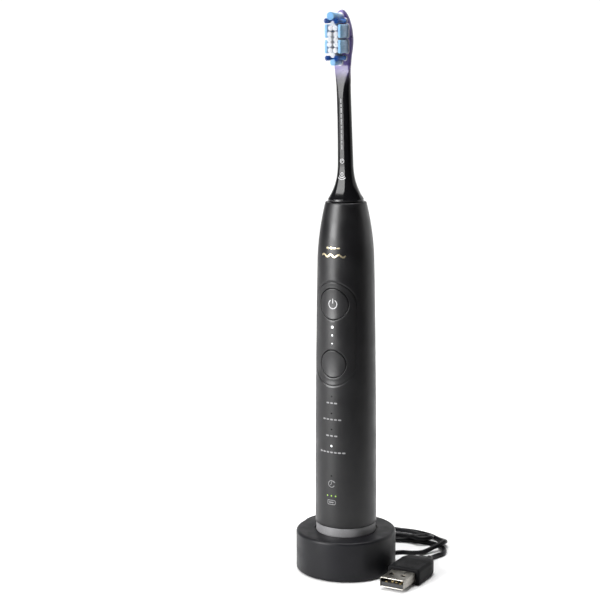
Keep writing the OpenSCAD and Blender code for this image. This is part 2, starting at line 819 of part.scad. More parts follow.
module head_platen() {
    steps = 24;
    color("mediumpurple") difference() {
        loft([for (i = [0 : steps]) platen_ring((platen_h - 0.15) * sin(90 * i / steps) + 0.01)]);
        block([-10, face_y - 5, platen_low - 1], [10, face_y, head_top + 1]);
    }
}

// Tufts, as [across, height above the platen's foot].
function pair(x, z) = [[-x, z], [x, z]];
white_spots = concat([[0, 4.7], [0, 18.5]], pair(1.3, 6.8), pair(1.65, 9.3), pair(1.65, 11.5),
    pair(1.65, 13.8), pair(1.2, 16.5));
side_spots = [for (low = [6.6, 13.3], row = [0 : 2], side = [-1, 1]) [side * 3.75, low + row * 1.95]];
dark_spots = concat(pair(2.2, 3.2), pair(2.2, 19.5));
foot_spot = [0, 1.4];
crown_spot = [0, 22.2];
white_r = 0.8;
side_r = 0.9;
dark_r = 0.9;
foot_tuft_r = 1.2;
crown_r = 1.3;
long_bristle = bristle_len + 1.6;

module tuft(spot, length, r) {
    translate([spot[0], face_y, platen_low + spot[1]]) rotate([90, 0, 0])
        cylinder(r = r, h = length, $fn = 24);
}

module collar(spot, r) {
    difference() {
        tuft(spot, 0.7, r + 0.35);
        translate([0, -0.2, 0]) tuft(spot, 1, r + fit);
        translate([0, 0.5, 0]) tuft(spot, 1, r + fit);
    }
}

module tuft_collars() {
    color("white") {
        for (spot = dark_spots) collar(spot, dark_r);
        collar(crown_spot, crown_r);
    }
}

module tufts_white() {
    color("white") for (spot = white_spots) tuft(spot, bristle_len, white_r);
}

module tufts_dark_blue() {
    color("navy") for (spot = dark_spots) tuft(spot, long_bristle, dark_r);
}

module tufts_light_blue() {
    color("deepskyblue") {
        for (spot = side_spots) tuft(spot, bristle_len, side_r);
        tuft(foot_spot, bristle_len, foot_tuft_r);
        tuft(crown_spot, long_bristle, crown_r);
    }
}

charger_top_shell();
charger_base_plate();
charger_foot_ring();
charger_ferrite_core();
charger_coil_bobbin();
charger_primary_coil();
charger_circuit_board();
charger_board_parts();
charger_cord_grommet();
cord_lead();
cord_tail();
cord_coil();
usb_plug_grip();
usb_plug_shell();
usb_plug_tongue();
usb_plug_contacts();
usb_plug_strain_relief();
handle_housing();
handle_end_cap();
end_cap_seal();
handle_charging_coil();
battery_cell();
battery_tabs();
inner_tray();
control_board();
control_board_parts();
power_switch();
mode_switch();
indicator_lights();
keypad_pad();
drive_frame();
lower_bush();
upper_bush();
stator_core();
stator_coils();
shaft_seal();
spring_anchor();
power_button();
power_plunger();
mode_button();
mode_plunger();
drive_shaft();
rotor_hub();
rotor_magnets();
torsion_bar();
brush_neck();
neck_base_ring();
shaft_socket();
head_tag_ring();
head_platen();
tuft_collars();
tufts_white();
tufts_dark_blue();
tufts_light_blue();
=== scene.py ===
import math
import random

import bpy
import bmesh
from mathutils import Matrix, Vector
from mathutils.geometry import delaunay_2d_cdt


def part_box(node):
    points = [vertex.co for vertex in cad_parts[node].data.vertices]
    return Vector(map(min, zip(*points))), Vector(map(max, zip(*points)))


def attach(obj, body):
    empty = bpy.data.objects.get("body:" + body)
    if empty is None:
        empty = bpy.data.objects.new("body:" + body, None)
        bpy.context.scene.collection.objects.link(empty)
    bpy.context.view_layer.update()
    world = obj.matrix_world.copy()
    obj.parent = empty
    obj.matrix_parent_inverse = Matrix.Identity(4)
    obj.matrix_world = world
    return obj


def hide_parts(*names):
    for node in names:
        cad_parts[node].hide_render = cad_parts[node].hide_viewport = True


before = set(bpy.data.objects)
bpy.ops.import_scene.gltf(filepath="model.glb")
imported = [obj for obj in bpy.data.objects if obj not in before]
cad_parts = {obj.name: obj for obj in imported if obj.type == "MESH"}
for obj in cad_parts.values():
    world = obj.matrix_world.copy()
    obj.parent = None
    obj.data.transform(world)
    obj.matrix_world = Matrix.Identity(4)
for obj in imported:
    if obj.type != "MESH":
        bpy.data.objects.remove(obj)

random.seed(11)
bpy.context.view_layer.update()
MM = 0.001


# ---------- Camera ----------

# The camera's bearing round the axis, its distance and height in metres, and how it is turned.
BEARING = math.radians(28)
DISTANCE, HEIGHT = 0.711, 0.254
YAW, PITCH, ROLL = math.radians(1.7), math.radians(10.05), math.radians(-0.3)
LENS = 94.3
ACROSS = Vector((math.cos(BEARING), math.sin(BEARING), 0))
AWAY = Vector((-math.sin(BEARING), math.cos(BEARING), 0))
UP = Vector((0, 0, 1))


def add_object(name, data):
    obj = bpy.data.objects.new(name, data)
    bpy.context.scene.collection.objects.link(obj)
    return obj


def make_camera():
    place = AWAY * -DISTANCE + UP * HEIGHT
    level = AWAY * math.cos(YAW) - ACROSS * math.sin(YAW)
    side = ACROSS * math.cos(YAW) + AWAY * math.sin(YAW)
    look = level * math.cos(PITCH) - UP * math.sin(PITCH)
    above = UP * math.cos(PITCH) + level * math.sin(PITCH)
    right = side * math.cos(ROLL) + above * math.sin(ROLL)
    top = above * math.cos(ROLL) - side * math.sin(ROLL)
    data = bpy.data.cameras.new("camera")
    data.lens = LENS
    data.sensor_width = 36
    data.clip_start = 0.01
    data.clip_end = 20
    obj = add_object("camera", data)
    turn = Matrix((right, top, -look)).transposed().to_4x4()
    obj.matrix_world = Matrix.Translation(place) @ turn
    bpy.context.scene.camera = obj


make_camera()


# ---------- Node materials ----------


class Nodes:
    """A material's node tree, with short names for the nodes it uses."""

    def __init__(self, name):
        self.material = bpy.data.materials.new(name)
        self.material.use_nodes = True
        self.tree = self.material.node_tree
        self.shader = self.tree.nodes["Principled BSDF"]
        self.place = self.node("ShaderNodeTexCoord").outputs["Object"]

    def node(self, kind, **values):
        made = self.tree.nodes.new(kind)
        for key, value in values.items():
            setattr(made, key, value)
        return made

    def link(self, a, b):
        self.tree.links.new(a, b)

    def noise(self, scale, detail=4.0, stretch=(1, 1, 1), rough=0.55):
        shape = self.node("ShaderNodeMapping")
        shape.inputs["Scale"].default_value = stretch
        self.link(self.place, shape.inputs["Vector"])
        made = self.node("ShaderNodeTexNoise")
        made.inputs["Scale"].default_value = scale
        made.inputs["Detail"].default_value = detail
        made.inputs["Roughness"].default_value = rough
        self.link(shape.outputs["Vector"], made.inputs["Vector"])
        return made.outputs["Fac"]

    def spread(self, value, low, high, at=(0.3, 0.7), smooth=True):
        """The value taken from the range at to the range low..high."""
        made = self.node("ShaderNodeMapRange")
        if smooth:
            made.interpolation_type = "SMOOTHSTEP"
        made.inputs["From Min"].default_value = at[0]
        made.inputs["From Max"].default_value = at[1]
        made.inputs["To Min"].default_value = low
        made.inputs["To Max"].default_value = high
        self.link(value, made.inputs["Value"])
        return made.outputs["Result"]

    def blend(self, amount, a, b):
        """Colour a to colour b by the amount. Each may be a colour or a socket."""
        made = self.node("ShaderNodeMix", data_type="RGBA")
        self.link(amount, made.inputs["Factor"])
        for key, value in (("A", a), ("B", b)):
            socket = [s for s in made.inputs if s.name == key and s.type == "RGBA"][0]
            if hasattr(value, "links"):
                self.link(value, socket)
            else:
                socket.default_value = (*value, 1)
        return [s for s in made.outputs if s.type == "RGBA"][0]

    def axis(self, name):
        made = self.node("ShaderNodeSeparateXYZ")
        self.link(self.place, made.inputs["Vector"])
        return made.outputs[name]

    def maths(self, operation, a, b=None):
        made = self.node("ShaderNodeMath", operation=operation)
        for i, value in enumerate((a, b)):
            if value is None:
                continue
            if hasattr(value, "links"):
                self.link(value, made.inputs[i])
            else:
                made.inputs[i].default_value = value
        return made.outputs[0]

    def bands(self, axis, pitch):
        """0 to 1 to 0 once in each pitch along an axis, in metres."""
        turn = self.maths("MULTIPLY", self.axis(axis), 2 * math.pi / pitch)
        return self.spread(self.maths("SINE", turn), 0, 1, at=(-1, 1), smooth=False)

    def colour(self, socket):
        self.link(socket, self.shader.inputs["Base Color"])

    def rough(self, socket):
        self.link(socket, self.shader.inputs["Roughness"])

    def bump(self, height, distance, strength=1.0, over=None):
        made = self.node("ShaderNodeBump")
        made.inputs["Strength"].default_value = strength
        made.inputs["Distance"].default_value = distance
        self.link(height, made.inputs["Height"])
        if over is not None:
            self.link(over, made.inputs["Normal"])
        self.link(made.outputs["Normal"], self.shader.inputs["Normal"])
        return made.outputs["Normal"]

    def set(self, **values):
        for key, value in values.items():
            self.shader.inputs[key.replace("_", " ")].default_value = value


def shade(colour, k):
    return tuple(min(1, c * k) for c in colour)


def plastic(name, colour, rough, grain=7000, depth=0.000012, coat=0.0, specular=0.5, vary=0.22):
    """Moulded plastic: faint colour mottling, smudges in the gloss and a fine moulded grain."""
    n = Nodes(name)
    cloud = n.noise(55, 3)
    speck = n.noise(2600, 2)
    mottle = n.blend(n.spread(cloud, 0, 1), shade(colour, 1 - vary), shade(colour, 1 + vary))
    n.colour(n.blend(n.spread(speck, 0, 1, at=(0.62, 0.74)), mottle, shade(colour, 1.6)))
    n.rough(n.spread(n.noise(130, 5), rough * 0.88, rough * 1.14, at=(0.35, 0.65)))
    soft = n.bump(n.noise(grain, 2), depth)
    n.bump(n.noise(160, 2), 0.00002, 0.35, over=soft)
    n.set(Specular_IOR_Level=specular, Coat_Weight=coat, Coat_Roughness=0.08)
    return n.material


def metal(name, colour, rough, stretch=(1, 1, 1), scale=3000, depth=0.000004):
    """Metal with fine marks along one way, dull patches and small colour changes."""
    n = Nodes(name)
    patch = n.noise(180, 4)
    n.colour(n.blend(n.spread(patch, 0, 1), shade(colour, 0.82), shade(colour, 1.08)))
    n.rough(n.spread(n.noise(400, 5), rough * 0.75, rough * 1.35, at=(0.3, 0.7)))
    n.bump(n.noise(scale, 3, stretch), depth)
    n.set(Metallic=1.0)
    return n.material


def windings(name, colour, pitch):
    """Wound wire: one ridge for each turn, with the enamel's gloss and painted shade in the grooves
    between turns.
    """
    n = Nodes(name)
    ridge = n.bands("Z", pitch)
    # Painted shade: the colour darkens in each groove between turns and lightens a little on the ridge
    # tops.
    n.colour(n.blend(n.spread(ridge, 0, 1, at=(0, 1)), shade(colour, 0.35), shade(colour, 1.1)))
    n.rough(n.spread(n.noise(900, 3), 0.22, 0.36))
    n.bump(ridge, pitch * 0.3)
    n.set(Metallic=0.8)
    return n.material


def laminated(name, colour, pitch):
    n = Nodes(name)
    sheet = n.bands("Z", pitch)
    n.colour(n.blend(n.spread(sheet, 0, 1, at=(0.1, 0.4)), shade(colour, 0.4), colour))
    n.rough(n.spread(n.noise(700, 3), 0.3, 0.5))
    n.bump(sheet, 0.00004)
    n.set(Metallic=0.9)
    return n.material


def board(name):
    """Circuit board: solder mask over copper tracks and pads."""
    n = Nodes(name)
    cells = n.node("ShaderNodeTexVoronoi")
    cells.inputs["Scale"].default_value = 420
    n.link(n.place, cells.inputs["Vector"])
    tracks = n.node("ShaderNodeTexBrick")
    tracks.inputs["Scale"].default_value = 380
    n.link(n.place, tracks.inputs["Vector"])
    track = n.spread(tracks.outputs["Fac"], 0, 1, at=(0.3, 0.6))
    mask = n.blend(track, (0.01, 0.075, 0.03), (0.02, 0.13, 0.05))
    pad = n.spread(cells.outputs["Distance"], 1, 0, at=(0.08, 0.14))
    n.colour(n.blend(pad, mask, (0.62, 0.5, 0.22)))
    n.rough(n.spread(n.noise(500, 3), 0.24, 0.4))
    n.bump(tracks.outputs["Fac"], 0.00003)
    return n.material


def bristle(name, root, tip, start, end, shine=0.35):
    """Nylon filaments, from the root's colour at the start to the tip's at the end, along -Y."""
    n = Nodes(name)
    along = n.spread(n.axis("Y"), 1, 0, at=(end, start), smooth=False)
    strand = n.noise(9000, 2, (1, 0.02, 1))
    base = n.blend(n.spread(along, 0, 1, at=(0.15, 0.9)), root, tip)
    n.colour(n.blend(n.spread(strand, 0, 0.35), base, shade(tip, 0.6)))
    n.rough(n.spread(n.noise(2500, 2), shine * 0.8, shine * 1.2))
    n.bump(strand, 0.00001)
    n.set(Subsurface_Weight=0.25, Subsurface_Scale=0.0006, Specular_IOR_Level=0.5)
    n.shader.inputs["Subsurface Radius"].default_value = (0.6, 0.8, 1.0)
    return n.material


def lamp(name, colour, power):
    """A lit window: a clear lens that glows, a little unevenly."""
    n = Nodes(name)
    grain = n.spread(n.noise(5000, 2), 0.85, 1.0)
    made = n.blend(grain, shade(colour, 0.7), colour)
    n.colour(made)
    n.link(made, n.shader.inputs["Emission Color"])
    n.rough(n.spread(n.noise(3000, 2), 0.2, 0.35))
    n.bump(n.noise(4000, 2), 0.000005)
    n.set(Emission_Strength=power)
    return n.material


# The height where the neck's black starts to turn violet, in metres.
VIOLET_Z = 0.2235


def violet():
    """The head's clear violet plastic. It darkens into the black of the neck below."""
    n = Nodes("violet_clear")
    wave = n.maths("MULTIPLY", n.noise(240, 3), 0.0022)
    level = n.maths("SUBTRACT", n.axis("Z"), wave)

    def rising(end, first, last):
        return n.spread(level, 0, end, at=(VIOLET_Z + first, VIOLET_Z + last))

    cloud = n.blend(n.spread(n.noise(150, 4), 0, 1), (0.11, 0.08, 0.26), (0.18, 0.14, 0.40))
    grey = n.blend(rising(1, 0.001, 0.007), (0.005, 0.005, 0.006), (0.07, 0.065, 0.09))
    n.colour(n.blend(rising(1, 0.004, 0.01), grey, cloud))
    smudge = n.spread(n.noise(300, 3), 0.12, 0.17)
    n.rough(n.maths("ADD", smudge, rising(0.15, 0, 0.006)))
    n.bump(n.noise(900, 2), 0.000012)
    n.link(rising(0.5, 0.0035, 0.0105), n.shader.inputs["Transmission Weight"])
    n.set(Subsurface_Weight=0.2, Subsurface_Scale=0.001, Specular_IOR_Level=0.2, IOR=1.5)
    n.shader.inputs["Subsurface Radius"].default_value = (0.5, 0.4, 1.0)
    return n.material


BLACK = (0.0048, 0.0046, 0.0054)
handle_black = plastic("handle_black", BLACK, 0.37, grain=9000, depth=0.000005, specular=0.44)
button_black = plastic("button_satin", (0.0062, 0.006, 0.0068), 0.35, grain=9000,
                       depth=0.000004, specular=0.46)
pad_black = plastic("pad_satin", (0.0055, 0.0053, 0.006), 0.36, grain=9000, depth=0.000005, specular=0.44)
puck_black = plastic("puck_black", (0.005, 0.005, 0.0065), 0.42, grain=5200, depth=0.000008, specular=0.23)
cap_grey = plastic("cap_grey", (0.2, 0.199, 0.205), 0.42, grain=6000)
neck_black = plastic("neck_gloss", (0.004, 0.004, 0.0048), 0.13, grain=3000, depth=0.000002, specular=0.2)
ring_black = plastic("ring_black", (0.01, 0.01, 0.011), 0.28)
cord_black = plastic("cord_jacket", (0.004, 0.004, 0.005), 0.34, grain=4200, depth=0.000010, specular=0.14)
plug_black = plastic("plug_black", (0.005, 0.005, 0.0055), 0.5, grain=4600, depth=0.000014, specular=0.05)
rubber = plastic("foot_rubber", (0.012, 0.012, 0.012), 0.7, grain=3500, depth=0.00003)
ivory = plastic("ivory_plastic", (0.62, 0.57, 0.46), 0.4)
red_rubber = plastic("red_rubber", (0.42, 0.03, 0.02), 0.5)
dark_part = plastic("dark_part", (0.02, 0.02, 0.021), 0.45)
collar_white = plastic("collar_white", (0.82, 0.8, 0.86), 0.3, grain=3000)
ink = plastic("pale_print", (0.42, 0.42, 0.43), 0.5, grain=8000)
label_ink = plastic("label_print", (0.19, 0.19, 0.195), 0.5, grain=8000)
gold_ink = metal("gold_print", (0.83, 0.72, 0.48), 0.32)
nickel = metal("nickel_shell", (0.33, 0.315, 0.285), 0.34, stretch=(1, 0.06, 1))
steel = metal("drive_steel", (0.6, 0.61, 0.62), 0.3, stretch=(1, 1, 0.1))
polished = metal("polished_shaft", (0.75, 0.75, 0.76), 0.14, stretch=(1, 1, 0.05))
brass = metal("bronze", (0.72, 0.48, 0.22), 0.34)
gold = metal("gold_contacts", (0.42, 0.31, 0.14), 0.3)
copper = windings("copper_winding", (0.72, 0.3, 0.12), 0.0005)
stack = laminated("laminated_steel", (0.34, 0.34, 0.36), 0.0007)
ferrite = plastic("ferrite", (0.045, 0.042, 0.04), 0.55, grain=2400, depth=0.00005)
wrap = plastic("cell_wrap", (0.05, 0.16, 0.42), 0.24, coat=0.4)
pcb = board("circuit_board")
lens_dark = plastic("lens_dark", (0.002, 0.002, 0.0022), 0.3, specular=0.12)
lens_white = lamp("lens_white", (0.95, 0.97, 1.0), 1.0)
lens_soft = lamp("lens_soft", (0.75, 0.77, 0.8), 0.45)
lens_green = lamp("lens_green", (0.2, 0.38, 0.04), 0.35)
head_violet = violet()


# ---------- Mesh helpers, in millimetres ----------


def new_mesh(name, verts, faces):
    mesh = bpy.data.meshes.new(name)
    mesh.from_pydata([(x * MM, y * MM, z * MM) for x, y, z in verts], [], faces)
    return mesh


def piece(name, body, material, verts, faces, sharp=None, slot=None, replaces=()):
    mesh = new_mesh(name, verts, faces)
    mesh.validate()
    work = bmesh.new()
    work.from_mesh(mesh)
    bmesh.ops.remove_doubles(work, verts=work.verts, dist=0.000002)
    bmesh.ops.recalc_face_normals(work, faces=work.faces)
    work.to_mesh(mesh)
    work.free()
    for face in mesh.polygons:
        face.use_smooth = True
    if sharp is not None:
        mesh.set_sharp_from_angle(angle=math.radians(sharp))
    mesh.materials.append(material)
    return settle(add_object(name, mesh), body, replaces)


def settle(obj, body, replaces=()):
    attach(obj, body)
    if replaces:
        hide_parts(*replaces)
    return obj


def grid_faces(rows, columns, closed=True, start=0):
    """Quads between rows of points, each row round a ring if closed."""
    faces = []
    for i in range(rows - 1):
        for k in range(columns if closed else columns - 1):
            n = (k + 1) % columns
            a, b = start + i * columns, start + (i + 1) * columns
            faces.append((a + k, a + n, b + n, b + k))
    return faces


def fan(tip, start, sides):
    """Triangles from a tip to a ring of points."""
    return [(tip, start + (k + 1) % sides, start + k) for k in range(sides)]


def fillet(corners, steps=6):
    """A profile through [x, y, radius] corners, with each corner rounded by its radius."""
    made = []
    last = len(corners) - 1
    for i, (x, y, radius) in enumerate(corners):
        here = Vector((x, y))
        if i in (0, last) or radius == 0:
            made.append((x, y))
            continue
        back = Vector(corners[i - 1][:2]) - here
        on = Vector(corners[i + 1][:2]) - here
        angle = back.angle(on)
        reach = min(radius / math.tan(angle / 2), back.length * 0.5, on.length * 0.5)
        start, end = here + back.normalized() * reach, here + on.normalized() * reach
        for k in range(steps + 1):
            t = k / steps
            p = start * (1 - t) ** 2 + here * 2 * t * (1 - t) + end * t * t
            made.append((p.x, p.y))
    return made


def spun(profile, sides):
    """Points and faces of an [r, z] profile turned round the Z axis."""
    verts, faces, rows = [], [], []
    for r, z in profile:
        if r < 1e-6:
            rows.append([len(verts)])
            verts.append((0, 0, z))
            continue
        rows.append(list(range(len(verts), len(verts) + sides)))
        for k in range(sides):
            a = 2 * math.pi * k / sides
            verts.append((r * math.sin(a), -r * math.cos(a), z))
    for low, high in zip(rows, rows[1:]):
        for k in range(sides):
            n = (k + 1) % sides
            loop = [low[k % len(low)], low[n % len(low)], high[n % len(high)], high[k % len(high)]]
            loop = tuple(dict.fromkeys(loop))
            if len(loop) > 2:
                faces.append(loop)
    return verts, faces


def joined(*parts):
    """Several (points, faces) made one."""
    verts, faces = [], []
    for more, loops in parts:
        start = len(verts)
        verts.extend(more)
        faces.extend(tuple(start + i for i in loop) for loop in loops)
    return verts, faces


def moved(part, turn):
    verts, faces = part
    return [tuple(turn @ Vector(v)) for v in verts], faces


def smooth_step(low, high, value):
    t = min(1, max(0, (value - low) / (high - low)))
    return t * t * (3 - 2 * t)


# ---------- Sizes from the CAD part, in millimetres ----------


def low_high(node):
    low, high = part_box(node)
    return low / MM, high / MM


puck_low, puck_high = low_high("charger_top_shell")
house_low, house_high = low_high("handle_housing")
cap_low, cap_high = low_high("handle_end_cap")
base_low, base_high = low_high("neck_base_ring")
plate_low, plate_high = low_high("head_platen")
power_low, power_high = low_high("power_button")
mode_low, mode_high = low_high("mode_button")
pad_low, pad_high = low_high("keypad_pad")
tuft_low, tuft_high = low_high("tufts_white")

SEAT = cap_low.z
BAND = house_low.z - SEAT
LENGTH = house_high.z - SEAT
HANDLE_R = house_high.x
SEAM_R = 9.35
TAPER = 1.9
SHOULDER = 27.6
DRAW = HANDLE_R - TAPER - SEAM_R
POWER_Z = (power_low.z + power_high.z) / 2
MODE_Z = (mode_low.z + mode_high.z) / 2
POWER_R = (power_high.z - power_low.z) / 2
MODE_R = (mode_high.z - mode_low.z) / 2
PAD_R = (pad_high.z - pad_low.z - (POWER_Z - MODE_Z)) / 2 + 0.03


def handle_r(z):
    s = z - SEAT
    side = TAPER * (max(0, s - BAND) / (LENGTH - BAND)) ** 2
    return HANDLE_R - side - DRAW * (max(0, s - LENGTH + SHOULDER) / SHOULDER) ** 2


def front_y(x, z, depth=0.0):
    """The handle's front skin, set back by a depth along Y."""
    return -math.sqrt(max(0.01, handle_r(z) ** 2 - x * x)) + depth


# ---------- The cord, first ----------

LEAD = [(17, 17, 4.2), (20, 20.2, 4), (22.5, 26, 2.4), (25.3, 32.5, 1.4), (28.2, 39, 2.6),
        (30.5, 44.5, 3.6), (28.6, 49.6, 2.2), (23.5, 53.5, 1.2), (17, 57, 1.2), (8, 58.6, 1.2),
        (-1, 57, 1.4), (-8, 53.5, 2.6), (-11.6, 48, 3.4), (-9, 42.6, 3.5), (-2, 41.4, 3.5),
        (5, 44.2, 3.5), (11.5, 45, 3.5), (17.8, 44.2, 3.5), (21.6, 48, 3.4), (19.6, 52.4, 2.4),
        (14, 53.4, 1.4), (8, 50.6, 1.2), (2, 47.8, 1.2), (-5, 46.4, 1.2), (-12, 46.2, 1.2),
        (-18, 47, 1.2)]
TAIL = [(-11, 29.6, 5.6), (-4, 36, 2.8), (4, 42, 1.4), (12, 45.6, 1.2), (19.6, 46.8, 1.2),
        (26.6, 45.4, 1.2), (32, 41.2, 1.2), (34, 35.6, 1.2), (32.6, 30.4, 1.2), (32, 26, 1.4),
        (33.2, 22.6, 2.8), (34, 19.8, 3.8), (34, 17, 3.8)]
# Each turn's radius and height, and the turns' middle and first and last bearings.
TURNS = [(14.3, 1.2), (12.1, 1.2), (9.9, 1.2), (11, 3.05), (13.2, 3.05), (14.3, 5), (12.1, 5),
         (9.9, 5), (11, 6.95), (13.2, 6.95)]
COIL_X, COIL_Y = -26, 34
COIL_FIRST, COIL_LAST = 80, 308


def coil_points(step=20):
    made = []
    total = 360 * (len(TURNS) - 1) + COIL_LAST - COIL_FIRST
    count = round(total / step)
    for i in range(count + 1):
        t = total / 360 * i / count
        turn = min(int(t), len(TURNS) - 1)
        after = TURNS[min(turn + 1, len(TURNS) - 1)]
        k = smooth_step(0.7, 1, t - turn)
        r = TURNS[turn][0] * (1 - k) + after[0] * k
        z = TURNS[turn][1] * (1 - k) + after[1] * k
        a = math.radians(COIL_FIRST + 360 * t)
        made.append((COIL_X + r * math.cos(a), COIL_Y + r * math.sin(a), z))
    return made


def smooth_line(points, steps):
    """Points on the smooth curve through the given ones."""
    p = [Vector(q) for q in points]
    p = [p[0] * 2 - p[1], *p, p[-1] * 2 - p[-2]]
    made = []
    for a, b, c, d in zip(p, p[1:], p[2:], p[3:]):
        for k in range(steps):
            t = k / steps
            made.append(0.5 * (2 * b + (c - a) * t + (2 * a - 5 * b + 4 * c - d) * t * t
                               + (3 * b - a - 3 * c + d) * t ** 3))
    return made + [p[-2]]


def make_cord():
    route = smooth_line([*LEAD, *coil_points(), *TAIL], 6)
    data = bpy.data.curves.new("charger_cord", "CURVE")
    data.dimensions = "3D"
    data.bevel_depth = 1.1 * MM
    data.bevel_resolution = 5
    data.use_fill_caps = True
    line = data.splines.new("POLY")
    line.points.add(len(route) - 1)
    for point, spot in zip(line.points, route):
        point.co = (*(spot * MM), 1)
    line.use_smooth = True
    data.materials.append(cord_black)
    return settle(add_object("charger_cord", data), "charger",
                  ("cord_lead", "cord_tail", "cord_coil"))


cord = make_cord()


# ---------- Charger ----------


PUCK_TOP = 19.0
NUB_R = 4.0


def make_puck():
    r, top, seat = puck_high.x, PUCK_TOP, SEAT
    nub, nub_top = NUB_R, puck_high.z
    profile = fillet([
        (r - 1.6, 6, 0), (r - 1.6, puck_low.z, 0.15), (r - 0.2, puck_low.z, 0.5), (r, 1.6, 0.6),
        (r, top, 1.5), (HANDLE_R + 0.5, top, 0.22), (HANDLE_R + 0.5, seat, 0.15),
        (nub, seat, 0.3), (nub, nub_top, 0.9), (0, nub_top, 0)], 8)
    return piece("charger_shell", "charger", puck_black, *spun(profile, 192), sharp=50,
                 slot="charger_plastic", replaces=("charger_top_shell",))


def make_end_cap():
    r, pit = cap_high.x, 4.4
    low, high = SEAT, SEAT + BAND
    profile = fillet([
        (0, low + 9.6, 0), (pit, low + 9.6, 0.4), (pit, low, 0.35), (r, low, 0.7),
        (r, high, 0.35), (r - 1.2, high, 0), (r - 1.2, high + 0.5, 0)], 6)
    return piece("end_cap_shell", "handle", cap_grey, *spun(profile, 192), sharp=50,
                 slot="cap_grey", replaces=("handle_end_cap",))


make_puck()
make_end_cap()


# ---------- Handle ----------


def stadium(grow, step=1.0):
    """Points round the keypad's outline, wider by grow."""
    r = PAD_R + grow
    count = 56
    right = [(r * math.cos(math.pi * k / count), POWER_Z + r * math.sin(math.pi * k / count))
             for k in range(count + 1)]
    left = [(-r * math.cos(math.pi * k / count), MODE_Z - r * math.sin(math.pi * k / count))
            for k in range(count + 1)]
    rise = max(2, round((POWER_Z - MODE_Z) / step))
    down = [(-r, POWER_Z + (MODE_Z - POWER_Z) * k / rise) for k in range(1, rise)]
    back = [(r, MODE_Z + (POWER_Z - MODE_Z) * k / rise) for k in range(1, rise)]
    return right + down + left + back


def outside_pad(x, z):
    """Distance outside the keypad's outline, less than nothing inside it."""
    nearest = min(POWER_Z, max(MODE_Z, z))
    return math.hypot(x, z - nearest) - PAD_R


def circle(x, z, r, count):
    return [(x + r * math.cos(2 * math.pi * k / count), z + r * math.sin(2 * math.pi * k / count))
            for k in range(count)]


# The radius that the handle's front is unrolled at while its mesh is made.
UNROLL_R = 13


def patch(loops, spots, keep, depth):
    """A fine mesh over the handle's front: closed loops, loose spots, a rule and a depth."""
    flat, edges = [], []

    def add(x, z):
        flat.append(Vector((math.asin(max(-1, min(1, x / handle_r(z)))) * UNROLL_R, z)))
        return len(flat) - 1

    for loop in loops:
        ids = [add(*p) for p in loop]
        edges += list(zip(ids, ids[1:] + ids[:1]))
    for x, z in spots:
        add(x, z)
    verts, _, faces, _, _, _ = delaunay_2d_cdt(flat, edges, [], 0, 1e-6)
    shown = []
    for v in verts:
        x, z = math.sin(v.x / UNROLL_R) * handle_r(v.y), v.y
        shown.append((x, front_y(x, z, depth(x, z)), z))
    kept = []
    for f in faces:
        x = sum(shown[i][0] for i in f) / len(f)
        z = sum(shown[i][2] for i in f) / len(f)
        if keep(x, z):
            kept.append(tuple(f))
    return shown, kept


def wall(loop, depth_out, depth_in):
    """A wall along Y round a closed loop."""
    verts = [(x, front_y(x, z, d), z) for d in (depth_out, depth_in) for x, z in loop]
    return verts, grid_faces(2, len(loop))


RIM = 0.9
SET_BACK = 0.2


def housing_depth(x, z):
    return SET_BACK * (1 - smooth_step(0, RIM, outside_pad(x, z)))


def make_housing():
    sides, half, window_rows, plain_rows = 192, 32, 29, 27
    columns = [2 * math.pi * k / sides for k in range(-half, half + 1)]
    window_low, window_high = MODE_Z - PAD_R - 4, POWER_Z + PAD_R + 4
    top, low = house_high.z, house_low.z
    foot_r = handle_r(low)

    def levels(first, last, count):
        return [first + (last - first) * k / (count - 1) for k in range(count)]

    rows_low = levels(low + 0.35, window_low, plain_rows)
    rows_mid = levels(window_low, window_high, window_rows)
    rows_top = levels(window_high, top - 0.4, plain_rows)
    skin = [(handle_r(z), z) for z in rows_low + rows_mid[1:-1] + rows_top]
    edge_low = [(foot_r - 1.5, low + 0.4), (foot_r - 1.5, low), (foot_r - 0.35, low),
                (foot_r - 0.12, low + 0.06), (foot_r - 0.02, low + 0.2)]
    edge_top = [(SEAM_R - 0.04, top - 0.16), (SEAM_R - 0.16, top - 0.04), (SEAM_R - 0.4, top),
                (6, top), (6, top - 1.5)]
    verts, faces = spun(edge_low + skin + edge_top, sides)

    # The window round the keypad is left out of the turned skin and filled with a fine patch.
    first = len(edge_low) + plain_rows - 1
    last = first + window_rows - 1
    front = set(range(0, half)) | set(range(sides - half, sides))
    faces = [f for i, f in enumerate(faces)
             if not (first <= i // sides < last and i % sides in front)]
    reach = columns[-1]
    fine_step, fine_count = 0.9, 38
    fine = [window_low + fine_step * k for k in range(1, int((window_high - window_low) / fine_step))]
    spots = [(math.sin(a) * handle_r(z), z, 1.25) for a in columns for z in rows_mid]
    spots += [(math.sin(reach * k / (fine_count + 0.5)) * handle_r(z), z, 1.4)
              for k in range(-fine_count, fine_count + 1) for z in fine]
    spots = [(x, z) for x, z, clear in spots if outside_pad(x, z) > clear]
    side = math.sin(reach)
    border = [(math.sin(a) * handle_r(window_low), window_low) for a in columns]
    border += [(side * handle_r(z), z) for z in rows_mid[1:-1]]
    border += [(math.sin(a) * handle_r(window_high), window_high) for a in reversed(columns)]
    border += [(-side * handle_r(z), z) for z in reversed(rows_mid[1:-1])]
    loops = [stadium(d) for d in (0, 0.1, 0.22, 0.36, 0.52, 0.7, RIM, 1.1)]
    made = patch([border, *loops], spots, lambda x, z: outside_pad(x, z) > 0, housing_depth)
    inner = wall(stadium(0), SET_BACK, 1.2)
    return piece("handle_shell", "handle", handle_black, *joined((verts, faces), made, inner),
                 sharp=40, slot="handle_soft_black", replaces=("handle_housing",))


PAD_GAP = 0.05
HOLE = 0.2


